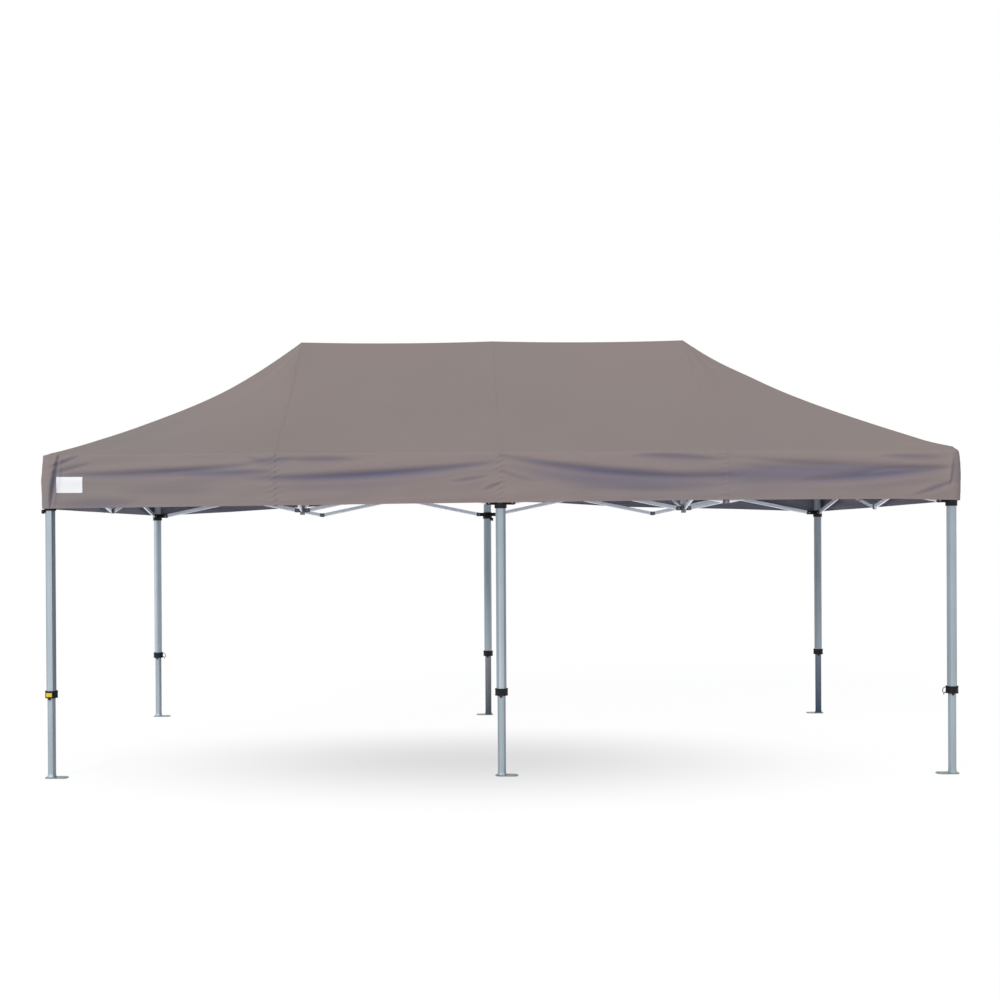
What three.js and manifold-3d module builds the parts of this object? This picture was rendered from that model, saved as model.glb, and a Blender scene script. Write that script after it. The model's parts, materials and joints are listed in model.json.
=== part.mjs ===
// A 3 x 6 m folding marquee: six telescopic hexagonal legs, a scissor-truss frame, two centre poles
// and one fabric canopy with a valance. Millimetres, +Z up, floor at z = 0, origin at the middle.
import * as THREE from "three";
import { mergeVertices } from "three/addons/utils/BufferGeometryUtils.js";
import Module from "manifold-3d";

const wasm = await Module();
wasm.setup();

// ---------------------------------------------------------------- driving sizes
const LEG_SPACING = 2950; // between neighbouring leg axes, along the length and across the depth
const TOP_PIVOT_Z = 2080; // pivots on the leg heads and upper truss joints
const LOW_PIVOT_Z = 1790; // pivots on the sliders, lower truss joints and hubs
const EAR_REACH = 75; // pivot distance from a leg axis

const LEG_FLATS = 57; // outer leg, across the flats of its hexagon
const LEG_WALL = 2;
const LEG_FOOT_Z = 540; // lower end of the outer leg
const INNER_FLATS = 47.5;
const INNER_WALL = 1.8;
const INNER_TOP_Z = 750;

const BAR_WIDTH = 32;
const BAR_THICK = 14;
const BAR_WALL = 1.5;
const BAR_END_STEPS = 2; // half the number of flats round each end of a bar
const BAR_LAYER = 7.7; // from the truss plane to the middle of each of its two layers of bars
const PIN_RADIUS = 5;
const PIN_CLEARANCE = 0.5;
const RUN_CLEARANCE = 0.4; // between faces that slide past each other
const CHEEK_THICK = 4;

const HEAD_FLATS = 64;
const HEAD_DEPTH = 62;
const SLIDER_FLATS = 69;
const SLIDER_BELOW = 38;
const SLIDER_ABOVE = 17;
const COLLAR_FLATS = 72;
const COLLAR_HEIGHT = 46;
const COLLAR_LIP = 13; // part of the collar that closes round the inner leg
const PLATE_LENGTH = 150;
const PLATE_WIDTH = 78;
const PLATE_THICK = 6;
const PLATE_SHIFT = 32; // the leg stands off the middle of its foot plate
const PEG_HOLE = 14;

const CONNECTOR_REACH = 37; // arm pivot from the plane of the outer truss
const CONNECTOR_PLATE = 4;
const POLE_RADIUS = 19;
const POLE_WALL = 2;
const POLE_CAP_RADIUS = 6;
const POLE_CAP_RISE = 16;
const HUB_BELOW = 34;
const HUB_ABOVE = 20;

const EAVE_Z = 2116;
const RIDGE_Z = 3090;
const VALANCE_DROP = 318;
const FABRIC = 1.6;
const OVERHANG_X = 55; // canopy edge beyond the outer leg axes
const OVERHANG_Y = 40;
const ROOF_SAG = 0.12; // dip of the roof at half its slope, as a share of its rise
const ROOF_BANDS = 8;
const SEAT_GAP = 0.3;

// ---------------------------------------------------------------- what follows from them
const legX = LEG_SPACING; // two bays along the length
const legY = LEG_SPACING / 2; // one across the depth
const unit = LEG_SPACING / 2; // one scissor, and the places of the centre poles
const hubReach = EAR_REACH - CONNECTOR_REACH; // gives the inner arms the same span as the truss bars
const canopyX = legX + OVERHANG_X;
const canopyY = legY + OVERHANG_Y;
const hexRadius = (flats) => flats / 2 / Math.cos(Math.PI / 6);

const aluminium = new THREE.MeshStandardMaterial({ color: 0xb4bdc2, roughness: 0.42, metalness: 0.9 });
const zinc = new THREE.MeshStandardMaterial({ color: 0xa9adac, roughness: 0.5, metalness: 0.9 });
const nylon = new THREE.MeshStandardMaterial({ color: 0x17181a, roughness: 0.55, metalness: 0 });
const fabric = new THREE.MeshStandardMaterial({ color: 0x8f8580, roughness: 0.85, metalness: 0 });

// ---------------------------------------------------------------- solids
function solid(geometry) {
  const bare = geometry.index ? geometry.toNonIndexed() : geometry.clone();
  for (const name of Object.keys(bare.attributes)) if (name !== "position") bare.deleteAttribute(name);
  const merged = mergeVertices(bare, 1e-3);
  return new wasm.Manifold(
    new wasm.Mesh({
      numProp: 3,
      vertProperties: merged.attributes.position.array,
      triVerts: new Uint32Array(merged.index.array),
    }),
  );
}

const joinAll = (solids) => solids.reduce((all, next) => all.add(next));

function geometryOf(made) {
  const mesh = made.getMesh();
  const geometry = new THREE.BufferGeometry();
  geometry.setAttribute("position", new THREE.BufferAttribute(new Float32Array(mesh.vertProperties), 3));
  geometry.setIndex(new THREE.BufferAttribute(new Uint32Array(mesh.triVerts), 1));
  geometry.computeVertexNormals();
  return geometry;
}

const box = (x0, x1, y0, y1, z0, z1) =>
  solid(
    new THREE.BoxGeometry(x1 - x0, y1 - y0, z1 - z0).translate((x0 + x1) / 2, (y0 + y1) / 2, (z0 + z1) / 2),
  );

// A hexagonal prism along Z with two flats facing the front and the back, and corners on the X axis.
const hexPrism = (flats, z0, z1) =>
  solid(
    new THREE.CylinderGeometry(hexRadius(flats), hexRadius(flats), z1 - z0, 6)
      .rotateY(Math.PI / 6)
      .rotateX(Math.PI / 2)
      .translate(0, 0, (z0 + z1) / 2),
  );

// A six-sided pin or hole along Y, through (x, z).
const pinAlongY = (radius, x, z, y0, y1) =>
  solid(new THREE.CylinderGeometry(radius, radius, y1 - y0, 6).translate(x, (y0 + y1) / 2, z));
const holeRadius = (PIN_RADIUS + PIN_CLEARANCE) / Math.cos(Math.PI / 6);

// One end fitting for a bar that leaves along +X: two cheeks and their pin. centre is the middle of
// the bar's layer in Y, and from is where the cheeks start.
function fork(reach, z, centre, from) {
  const half = BAR_THICK / 2 + RUN_CLEARANCE;
  const high = BAR_WIDTH / 2 - 1;
  const cheek = (y0) => box(from, reach + high, y0, y0 + CHEEK_THICK, z - high, z + high);
  const outside = centre + half;
  const inside = centre - half - CHEEK_THICK;
  return joinAll([
    cheek(outside),
    cheek(inside),
    pinAlongY(PIN_RADIUS, reach, z, inside + 1, outside + CHEEK_THICK - 1),
  ]);
}

const turned = (made, quarterTurns) => made.rotate([0, 0, 90 * quarterTurns]);

// ---------------------------------------------------------------- bars
// A bar between two pivots in the XZ plane, in its own layer. A falling bar carries the pins of the
// joints that it shares with rising bars only; every other joint of a bar is a hole.
function bar(start, end, layer, pinAt) {
  const length = Math.hypot(end[0] - start[0], end[1] - start[1]);
  const r = BAR_WIDTH / 2;
  const outline = new THREE.Shape();
  outline.absarc(length, 0, r, -Math.PI / 2, Math.PI / 2, false);
  outline.absarc(0, 0, r, Math.PI / 2, (3 * Math.PI) / 2, false);
  outline.closePath();
  const outer = solid(
    new THREE.ExtrudeGeometry(outline, { depth: BAR_THICK, bevelEnabled: false, curveSegments: BAR_END_STEPS })
      .rotateX(Math.PI / 2)
      .translate(0, BAR_THICK / 2, 0),
  );
  const halfHollow = BAR_THICK / 2 - BAR_WALL;
  const hollow = box(-r - 1, length + r + 1, -halfHollow, halfHollow, -r + BAR_WALL, r - BAR_WALL);
  let made = outer.subtract(hollow);
  const stations = [0, length / 2, length];
  stations.forEach((x, i) => {
    if (!pinAt[i])
      made = made.subtract(pinAlongY(holeRadius, x, 0, -BAR_THICK, BAR_THICK));
  });
  stations.forEach((x, i) => {
    if (pinAt[i])
      made = made.add(pinAlongY(PIN_RADIUS, x, 0, -BAR_LAYER * 2 - BAR_THICK / 2, BAR_THICK / 2 - BAR_WALL / 2));
  });
  const slope = Math.atan2(end[1] - start[1], end[0] - start[0]);
  return made.rotate([0, (-slope * 180) / Math.PI, 0]).translate([start[0], layer, start[1]]);
}

// ---------------------------------------------------------------- legs
function hexTube(flats, wall, z0, z1) {
  return hexPrism(flats, z0, z1).subtract(hexPrism(flats - 2 * wall, z0 - 1, z1 + 1));
}

// Ears point along +X, +Y, -X, -Y for quarter turns 0 to 3, each with the layer of its bar.
const ears = (list, z, from) => list.map(([turns, layer]) => turned(fork(EAR_REACH, z, layer, from), turns));

// Quarter turns and layers for a leg's ears at its head, given where its neighbours stand. A bar
// hung from the head falls away from the leg, so its layer depends on the side that it leaves on.
function earList(ix, iy, atHead) {
  const list = [];
  const falling = BAR_LAYER;
  const rising = -BAR_LAYER;
  if (ix < 1) list.push([0, atHead ? falling : rising]);
  if (ix > -1) list.push([2, atHead ? -rising : -falling]);
  if (ix !== 0 && iy < 0) list.push([1, atHead ? falling : rising]);
  if (ix !== 0 && iy > 0) list.push([3, atHead ? -rising : -falling]);
  return list;
}

function outerLeg(ix, iy, headTop) {
  const tube = hexTube(LEG_FLATS, LEG_WALL, LEG_FOOT_Z, headTop - HEAD_DEPTH / 2);
  const head = hexPrism(HEAD_FLATS, headTop - HEAD_DEPTH, headTop).subtract(
    hexPrism(LEG_FLATS - 2 * LEG_WALL, headTop - HEAD_DEPTH - 1, headTop - HEAD_DEPTH / 2 + 1),
  );
  const from = HEAD_FLATS / 2 - 6;
  return joinAll([tube, head, collar(), ...ears(earList(ix, iy, true), TOP_PIVOT_Z, from)]);
}

function slider(ix, iy) {
  const low = LOW_PIVOT_Z - SLIDER_BELOW;
  const high = LOW_PIVOT_Z + SLIDER_ABOVE;
  const from = LEG_FLATS / 2 + 2;
  const bore = hexPrism(LEG_FLATS + 2 * RUN_CLEARANCE, low - 1, high + 1);
  return joinAll([hexPrism(SLIDER_FLATS, low, high), ...ears(earList(ix, iy, false), LOW_PIVOT_Z, from)]).subtract(
    bore,
  );
}

// The collar at the foot of the outer leg, whose lip closes round the inner leg.
function collar() {
  const low = LEG_FOOT_Z - COLLAR_LIP;
  const high = low + COLLAR_HEIGHT;
  return hexPrism(COLLAR_FLATS, low, high)
    .subtract(hexPrism(LEG_FLATS - 2 * LEG_WALL, LEG_FOOT_Z, high + 1))
    .subtract(hexPrism(INNER_FLATS + 2 * RUN_CLEARANCE, low - 1, high));
}

function innerLeg(side) {
  const middle = side * PLATE_SHIFT;
  const plate = box(
    middle - PLATE_LENGTH / 2,
    middle + PLATE_LENGTH / 2,
    -PLATE_WIDTH / 2,
    PLATE_WIDTH / 2,
    0,
    PLATE_THICK,
  );
  const holeX = middle + side * (PLATE_LENGTH / 2 - PEG_HOLE * 1.4);
  const hole = box(holeX - PEG_HOLE / 2, holeX + PEG_HOLE / 2, -PEG_HOLE / 2, PEG_HOLE / 2, -1, PLATE_THICK + 1);
  return hexTube(INNER_FLATS, INNER_WALL, PLATE_THICK / 2, INNER_TOP_Z).add(plate.subtract(hole));
}

// ---------------------------------------------------------------- joints inside the frame
// The upper joint of a truss: a pin through both bars, and a fork for the inner arm along -Y.
function connector() {
  const face = BAR_LAYER + BAR_THICK / 2 + RUN_CLEARANCE;
  const high = BAR_WIDTH / 2 - 1;
  const wide = BAR_THICK / 2 + RUN_CLEARANCE + CHEEK_THICK;
  const plate = box(-wide, wide, -face - CONNECTOR_PLATE, -face, TOP_PIVOT_Z - high, TOP_PIVOT_Z + high);
  const pin = pinAlongY(PIN_RADIUS, 0, TOP_PIVOT_Z, -face - 1, face + 1);
  const arm = turned(fork(CONNECTOR_REACH, TOP_PIVOT_Z, 0, face + 1), 3);
  return joinAll([plate, pin, arm]);
}

// Where the two arms along the ridge meet, midway between the centre poles.
function centreConnector() {
  const block = CONNECTOR_REACH - BAR_WIDTH / 2 - CHEEK_THICK;
  const wide = BAR_THICK / 2 + RUN_CLEARANCE + CHEEK_THICK;
  const high = BAR_WIDTH / 2 - 1;
  const forks = [0, 2].map((turns) => turned(fork(CONNECTOR_REACH, TOP_PIVOT_Z, 0, block - 1), turns));
  return joinAll([box(-block, block, -wide, wide, TOP_PIVOT_Z - high, TOP_PIVOT_Z + high), ...forks]);
}

// Pole outline from the hub to the cap that lifts the fabric, hollow and open below.
function peakPole(top) {
  const low = LOW_PIVOT_Z - HUB_BELOW;
  const profile = [
    [POLE_RADIUS - POLE_WALL, low],
    [POLE_RADIUS, low],
    [POLE_RADIUS, top - POLE_CAP_RISE],
    [POLE_CAP_RADIUS, top],
    [0, top],
    [0, top - POLE_CAP_RISE],
    [POLE_RADIUS - POLE_WALL, top - POLE_CAP_RISE],
  ].map(([r, z]) => new THREE.Vector2(r, z));
  const closed = [...profile, profile[0]];
  const tube = solid(new THREE.LatheGeometry(closed, 12).rotateX(Math.PI / 2));
  const from = POLE_RADIUS - 1;
  const arms = [0, 1, 2, 3].map((turns) => turned(fork(hubReach, LOW_PIVOT_Z, 0, from - 4), turns));
  const bore = solid(
    new THREE.CylinderGeometry(POLE_RADIUS - POLE_WALL, POLE_RADIUS - POLE_WALL, HUB_BELOW + HUB_ABOVE + 20, 12)
      .rotateX(Math.PI / 2)
      .translate(0, 0, LOW_PIVOT_Z),
  );
  return joinAll([tube, joinAll(arms).subtract(bore)]);
}

// ---------------------------------------------------------------- canopy
const rise = (t) => t - ROOF_SAG * 4 * t * (1 - t);
const roofZ = (t) => EAVE_Z + (RIDGE_Z - EAVE_Z) * rise(t);

// Height of the faceted outer roof at a point of the plan, straight between its bands.
function roofAt(x, y) {
  const t = Math.min((canopyX - Math.abs(x)) / (canopyX - unit), 1 - Math.abs(y) / canopyY);
  const band = Math.min(Math.floor(t * ROOF_BANDS), ROOF_BANDS - 1);
  const part = t * ROOF_BANDS - band;
  return roofZ(band / ROOF_BANDS) * (1 - part) + roofZ((band + 1) / ROOF_BANDS) * part;
}

// Height of the underside, which is the outer roof moved inwards and down by the fabric.
const underRoof = (x, y) => roofAt(Math.abs(x) + FABRIC, Math.abs(y) + FABRIC) - FABRIC;

// One ring of the canopy at share t of the slope, as points from the front left corner onwards.
function ring(t, z, inset) {
  const hx = canopyX - inset + (unit - canopyX + inset) * t;
  const hy = (canopyY - inset) * (1 - t);
  const points = [];
  const side = (n, x0, y0, x1, y1) => {
    for (let i = 0; i < n; i += 1) points.push([x0 + ((x1 - x0) * i) / n, y0 + ((y1 - y0) * i) / n, z]);
  };
  side(8, -hx, -hy, hx, -hy);
  side(4, hx, -hy, hx, hy);
  side(8, hx, hy, -hx, hy);
  side(4, -hx, hy, -hx, -hy);
  return points;
}

function canopy() {
  const hem = EAVE_Z - VALANCE_DROP;
  const shares = Array.from({ length: ROOF_BANDS + 1 }, (_, i) => i / ROOF_BANDS);
  const outside = [ring(0, hem, 0), ...shares.map((t) => ring(t, roofZ(t), 0))];
  const inside = [ring(0, hem, FABRIC), ...shares.map((t) => ring(t, roofZ(t) - FABRIC, FABRIC))];
  const rings = [...inside.reverse(), ...outside];
  const count = rings[0].length;
  const positions = [];
  const triangle = (a, b, c) => {
    const key = [a, b, c].map((p) => p.map((v) => v.toFixed(3)).join());
    if (new Set(key).size === 3) positions.push(...a, ...b, ...c);
  };
  for (let k = 0; k < rings.length - 1; k += 1) {
    for (let i = 0; i < count; i += 1) {
      const j = (i + 1) % count;
      const [a, b, c, d] = [rings[k][i], rings[k][j], rings[k + 1][j], rings[k + 1][i]];
      triangle(a, b, c);
      triangle(a, c, d);
    }
  }
  const geometry = new THREE.BufferGeometry();
  geometry.setAttribute("position", new THREE.Float32BufferAttribute(positions, 3));
  return solid(geometry);
}

// ---------------------------------------------------------------- the tent
const tent = new THREE.Group();
tent.name = "folding_marquee";

function place(name, made, material, x = 0, y = 0, quarterTurns = 0) {
  const mesh = new THREE.Mesh(geometryOf(made), material);
  mesh.name = name;
  mesh.position.set(x, y, 0);
  mesh.rotation.z = (quarterTurns * Math.PI) / 2;
  tent.add(mesh);
}

place("canopy", canopy(), fabric);

const columns = [
  [-1, "left", 1],
  [0, "middle", 0],
  [1, "right", -1],
];
for (const [iy, row] of [
  [1, "rear"],
  [-1, "front"],
]) {
  for (const [ix, column, towards] of columns) {
    const name = row + "_" + column;
    const [x, y] = [ix * legX, iy * legY];
    const shoulder = HEAD_FLATS / 2;
    const headTop = underRoof(x + ix * hexRadius(HEAD_FLATS), y + iy * shoulder) - SEAT_GAP;
    place(name + "_outer_leg", outerLeg(ix, iy, headTop), aluminium, x, y);
    place(name + "_inner_leg", innerLeg(towards || -iy), zinc, x, y);
    place(name + "_slider", slider(ix, iy), nylon, x, y);
  }
}

// Truss bars, from the lower station number to the higher. Ends at a leg stop short by its ear.
const FALLING = [TOP_PIVOT_Z, LOW_PIVOT_Z];
const RISING = [LOW_PIVOT_Z, TOP_PIVOT_Z];

function truss(name, units, x, y, quarterTurns) {
  for (let k = 0; k < units; k += 1) {
    const first = -(units * unit) / 2 + k * unit;
    const startAtLeg = k % 2 === 0;
    const from = first + (startAtLeg ? EAR_REACH : 0);
    const to = first + unit - (startAtLeg ? 0 : EAR_REACH);
    const falling = bar([from, FALLING[0]], [to, FALLING[1]], BAR_LAYER, [false, true, startAtLeg]);
    const rising = bar([from, RISING[0]], [to, RISING[1]], -BAR_LAYER, [false, false, false]);
    place(`${name}_bar_${k + 1}_falling`, falling, aluminium, x, y, quarterTurns);
    place(`${name}_bar_${k + 1}_rising`, rising, aluminium, x, y, quarterTurns);
  }
}
truss("rear", 4, 0, legY, 0);
truss("front", 4, 0, -legY, 0);
truss("left", 2, -legX, 0, 1);
truss("right", 2, legX, 0, 1);

// Inner arms rise from each hub to the upper truss joints around it and to the middle of the tent.
const capTop = Math.min(underRoof(unit + POLE_CAP_RADIUS, 0), underRoof(unit, POLE_CAP_RADIUS)) - SEAT_GAP;
const innerArm = bar([hubReach, LOW_PIVOT_Z], [unit - CONNECTOR_REACH, TOP_PIVOT_Z], 0, [false, false, false]);
for (const [sx, side] of [
  [-1, "left"],
  [1, "right"],
]) {
  const x = sx * unit;
  const outward = sx > 0 ? 0 : 2;
  place(`${side}_peak_pole`, peakPole(capTop), aluminium, x, 0);
  place(`${side}_side_arm`, innerArm, aluminium, x, 0, outward);
  place(`${side}_centre_arm`, innerArm, aluminium, x, 0, 2 - outward);
  place(`${side}_side_connector`, connector(), nylon, sx * legX, 0, sx > 0 ? 3 : 1);
  for (const [iy, row] of [
    [1, "rear"],
    [-1, "front"],
  ]) {
    place(`${row}_${side}_connector`, connector(), nylon, x, iy * legY, iy > 0 ? 0 : 2);
    place(`${row}_${side}_arm`, innerArm, aluminium, x, 0, iy > 0 ? 1 : 3);
  }
}
place("centre_connector", centreConnector(), nylon);

export default tent;
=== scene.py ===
"""A 3 x 6 m folding marquee in use: its sewn canopy, telescopic legs, scissor truss and fittings, built
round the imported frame, with a plain white stage. Metres, +Z up, the front faces -Y."""

import json
import math
import random
from collections import namedtuple

import bmesh
import bpy
import numpy as np
from mathutils import Matrix, Vector


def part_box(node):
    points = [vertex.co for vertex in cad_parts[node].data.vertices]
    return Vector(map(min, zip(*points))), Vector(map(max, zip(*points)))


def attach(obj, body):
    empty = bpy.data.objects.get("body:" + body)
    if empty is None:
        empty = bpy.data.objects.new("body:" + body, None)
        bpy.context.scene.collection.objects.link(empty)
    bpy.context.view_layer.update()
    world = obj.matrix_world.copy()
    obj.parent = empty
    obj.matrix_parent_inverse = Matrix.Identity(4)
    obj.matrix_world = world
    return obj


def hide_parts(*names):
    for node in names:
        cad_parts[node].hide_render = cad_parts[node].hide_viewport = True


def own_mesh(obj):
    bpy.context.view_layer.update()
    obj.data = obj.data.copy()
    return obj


bl_info = {
    "name": "Folding Marquee",
    "version": (1, 0, 0),
    "blender": (4, 5, 0),
    "location": "View3D > Sidebar > Marquee",
    "description": "Builds the canopy, legs, truss and fittings of a folding marquee round its frame",
    "category": "Add Mesh",
}

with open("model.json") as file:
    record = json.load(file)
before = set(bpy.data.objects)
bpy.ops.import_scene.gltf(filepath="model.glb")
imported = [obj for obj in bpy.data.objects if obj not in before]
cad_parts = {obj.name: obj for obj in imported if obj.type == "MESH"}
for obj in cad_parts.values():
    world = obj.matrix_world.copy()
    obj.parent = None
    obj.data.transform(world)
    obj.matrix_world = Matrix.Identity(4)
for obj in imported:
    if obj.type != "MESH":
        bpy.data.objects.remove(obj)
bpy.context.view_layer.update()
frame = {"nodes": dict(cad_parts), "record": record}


# ---------------------------------------------------------------- sizes taken from the frame
def middle(node):
    low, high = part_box(node)
    return (low + high) / 2


BAY = middle("right_peak_pole").x  # between truss stations, along the length and across the depth
LEGS = {
    row + "_" + column: Vector((ix * 2 * BAY, iy * BAY, 0))
    for iy, row in ((1, "rear"), (-1, "front"))
    for ix, column in ((-1, "left"), (0, "middle"), (1, "right"))
}
HEM_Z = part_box("canopy")[0].z
HALF_LENGTH, HALF_DEPTH, RIDGE_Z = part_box("canopy")[1]
BODY_OF = {node: body for body, nodes in frame["record"]["behaviour"]["bodies"].items() for node in nodes}


# ---------------------------------------------------------------- settings
def length_setting(label, note, default, least=0.0):
    return bpy.props.FloatProperty(name=label, description=note, default=default, min=least, unit="LENGTH")


def colour_setting(label, note, default):
    return bpy.props.FloatVectorProperty(
        name=label, description=note + ", linear", default=default, min=0, max=1, subtype="COLOR")


class CanopySettings(bpy.types.PropertyGroup):
    valance_drop: length_setting("Valance drop", "Height of the band that hangs from the eave", 0.318, 0.1)
    fabric_thickness: length_setting("Fabric thickness", "Thickness of the coated polyester", 0.0012, 0.0003)
    colour: colour_setting("Fabric colour", "Dyed colour of the canopy", (0.291, 0.2385, 0.2285))
    # painted shade: the cloth turns to this darker, cooler colour deep in its folds and puckers
    crease_colour: colour_setting("Crease colour", "Colour deep in the folds", (0.138, 0.130, 0.200))
    # partly painted light: the underside is lighter and bluer than the cloth, for daylight shining through it
    lining_colour: colour_setting("Underside colour", "Coating on the underside", (0.29, 0.28, 0.33))
    fold_depth: bpy.props.FloatProperty(
        name="Fold depth", description="Scales every drag fold and pucker", default=1.0, min=0, max=2)
    left_dip: length_setting("Left dip", "Dip of the roof at half its slope, at the left end", 0.137)
    right_dip: length_setting("Right dip", "Dip of the roof at half its slope, at the right end", 0.095)
    ridge_sag: length_setting("Ridge sag", "Sag of the ridge between the poles and the middle seam", 0.011)
    stitch_pitch: length_setting("Stitch pitch", "Distance between stitches", 0.012, 0.003)
    label_width: length_setting("Label width", "Width of the blank patch", 0.166)
    label_height: length_setting("Label height", "Height of the blank patch", 0.104)


class MetalSettings(bpy.types.PropertyGroup):
    leg_colour: colour_setting("Leg colour", "Anodised aluminium of the legs", (0.35, 0.41, 0.455))
    truss_colour: colour_setting("Truss colour", "Anodised aluminium of the bars", (0.86, 0.91, 0.99))
    nylon_colour: colour_setting(
        "Nylon colour", "Black moulded nylon of the collars and sliders", (0.006, 0.006, 0.008))
    small_bevel: length_setting("Edge radius", "Rounding of every metal edge", 0.0009, 0.0001)


class StageSettings(bpy.types.PropertyGroup):
    lens: bpy.props.FloatProperty(
        name="Lens", description="Focal length on a 36 mm sensor", default=44.43, subtype="DISTANCE_CAMERA")
    camera_place: bpy.props.FloatVectorProperty(
        name="Camera place", description="Where the camera stands", default=(-0.3231, -9.5577, 1.4979),
        subtype="TRANSLATION")
    camera_turn: bpy.props.FloatVectorProperty(
        name="Camera turn", description="Turn of the camera about X, Y and Z",
        default=tuple(math.radians(a) for a in (89.742, 0.314, 0.074)), subtype="EULER")
    shadow_half_length: length_setting("Shadow half length", "Half length of the soft ground shadow", 3.05)
    shadow_half_depth: length_setting("Shadow half depth", "Half depth of the soft ground shadow", 1.83)


# ---------------------------------------------------------------- nodes
def set_inputs(node, inputs):
    """Set each named input to a value, or link it where the value is another node's output."""
    for name, value in inputs.items():
        if isinstance(value, bpy.types.NodeSocket):
            node.id_data.links.new(value, node.inputs[name])
        else:
            node.inputs[name].default_value = value


def add_node(tree, kind, inputs=None, **settings):
    made = tree.nodes.new(kind)
    for key, value in settings.items():
        setattr(made, key, value)
    set_inputs(made, inputs or {})
    return made


# ---------------------------------------------------------------- materials
def new_material(name, colour, roughness, metallic=0.0, **others):
    material = bpy.data.materials.new(name)
    material.use_nodes = True
    material.diffuse_color = (*colour, 1)
    shader = material.node_tree.nodes["Principled BSDF"]
    set_inputs(shader, {"Base Color": (*colour, 1), "Roughness": roughness, "Metallic": metallic, **others})
    return material, shader


def object_noise(tree, scale, stretch=(1, 1, 1), detail=3.0):
    """The factor of a noise over the piece's own coordinates, stretched along its axes."""
    place = add_node(tree, "ShaderNodeTexCoord").outputs["Object"]
    mapping = add_node(tree, "ShaderNodeMapping", {"Vector": place, "Scale": stretch})
    return add_node(tree, "ShaderNodeTexNoise", {
        "Vector": mapping.outputs["Vector"], "Scale": scale, "Detail": detail}).outputs["Fac"]


def between(factor, low, high, start=0.3, stop=0.7):
    """The factor's range from start to stop spread over low to high."""
    return add_node(factor.id_data, "ShaderNodeMapRange", {
        "Value": factor, "From Min": start, "From Max": stop, "To Min": low, "To Max": high,
    }).outputs["Result"]


def colour_mix(factor, first, second):
    mix = add_node(factor.id_data, "ShaderNodeMix", {"Factor": factor, "A": first, "B": second},
                   data_type="RGBA")
    return mix.outputs["Result"]


def tinted(shader, colour, factor, low, high):
    """Base colour from a colour times a shade that the factor moves between low and high."""
    shade = add_node(shader.id_data, "ShaderNodeVectorMath",
                     {0: colour, "Scale": between(factor, low, high)}, operation="SCALE")
    set_inputs(shader, {"Base Color": shade.outputs["Vector"]})


def bumped(shader, height, strength, distance):
    """A bump on a shader's normal, or under another bump's."""
    bump = add_node(shader.id_data, "ShaderNodeBump",
                    {"Height": height, "Strength": strength, "Distance": distance})
    set_inputs(shader, {"Normal": bump.outputs["Normal"]})
    return bump


def canopy_fabric(settings):
    """Coated polyester: a fine plain weave, soft storage creases, and painted shade that makes the folds
    cooler and darker.
    """
    material, shader = new_material("canopy_polyester", settings.colour, 0.72, **{
        "Sheen Weight": 0.08, "Sheen Roughness": 0.5, "Specular IOR Level": 0.25})
    tree = material.node_tree
    # cloth from two rolls of thread: warmer and greener patches
    warm, green = (
        (*(c * t for c, t in zip(settings.colour, tint)), 1)
        for tint in ((1.030, 0.994, 0.980), (0.966, 1.006, 1.012)))
    patches = between(object_noise(tree, 0.55, (1.0, 1.0, 2.6), 5.0), 0.0, 1.0)
    # painted shade: a per-point shade from the fold relief mixes the cloth towards the darker, cooler fold
    # colour
    crease = add_node(tree, "ShaderNodeAttribute", attribute_name="crease").outputs["Fac"]
    dyed = colour_mix(crease, colour_mix(patches, warm, green), (*settings.crease_colour, 1))
    tinted(shader, dyed, object_noise(tree, 0.9, detail=2.0), 0.985, 1.015)
    uv = add_node(tree, "ShaderNodeTexCoord").outputs["UV"]
    threads = [
        add_node(tree, "ShaderNodeTexWave", {"Vector": uv, "Scale": 220.0}, wave_type="BANDS",
                 bands_direction=direction).outputs["Fac"]
        for direction in "XY"]
    weave = add_node(tree, "ShaderNodeMath", dict(enumerate(threads)), operation="MAXIMUM")
    fine = bumped(shader, weave.outputs["Value"], 0.06, 0.0004)
    bumped(fine, object_noise(tree, 5.0, (1.0, 1.0, 2.2), 4.0), 0.10, 0.012)
    return material


def fabric_lining(colour):
    """The waterproof coating on the underside of the canopy, made lighter and bluer than the cloth as painted
    light for the daylight that shines through it.
    """
    material, shader = new_material("canopy_coated_underside", colour, 0.6)
    tree = material.node_tree
    tinted(shader, colour, object_noise(tree, 1.1), 0.95, 1.04)
    bumped(shader, object_noise(tree, 6.0, (1.0, 1.0, 2.0), 4.0), 0.1, 0.01)
    return material


def anodised(name, colour, stretch, roughness=0.5, metallic=0.35, foot=None):
    """Extruded and anodised aluminium, with faint draw lines along the axis that stretch makes long.

    A lower tube given painted shade darkens to the foot colour towards the ground."""
    material, shader = new_material(name, colour, roughness, metallic)
    tree = material.node_tree
    if foot:
        # painted shade: the colour falls from the tube's own to the foot colour between 0.56 m and 0.02 m
        # above the ground
        place = add_node(tree, "ShaderNodeTexCoord").outputs["Object"]
        height = add_node(tree, "ShaderNodeSeparateXYZ", {"Vector": place}).outputs["Z"]
        clean = between(height, 0, 1, start=0.02, stop=0.56)
        set_inputs(shader, {"Base Color": colour_mix(clean, (*foot, 1), (*colour, 1))})
    else:
        tinted(shader, colour, object_noise(tree, 3.0, detail=2.0), 0.93, 1.05)
    lines = object_noise(tree, 60.0, stretch, 4.0)
    set_inputs(shader, {"Roughness": between(lines, roughness - 0.05, roughness + 0.08)})
    bumped(shader, lines, 0.12, 0.0004)
    return material


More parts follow.
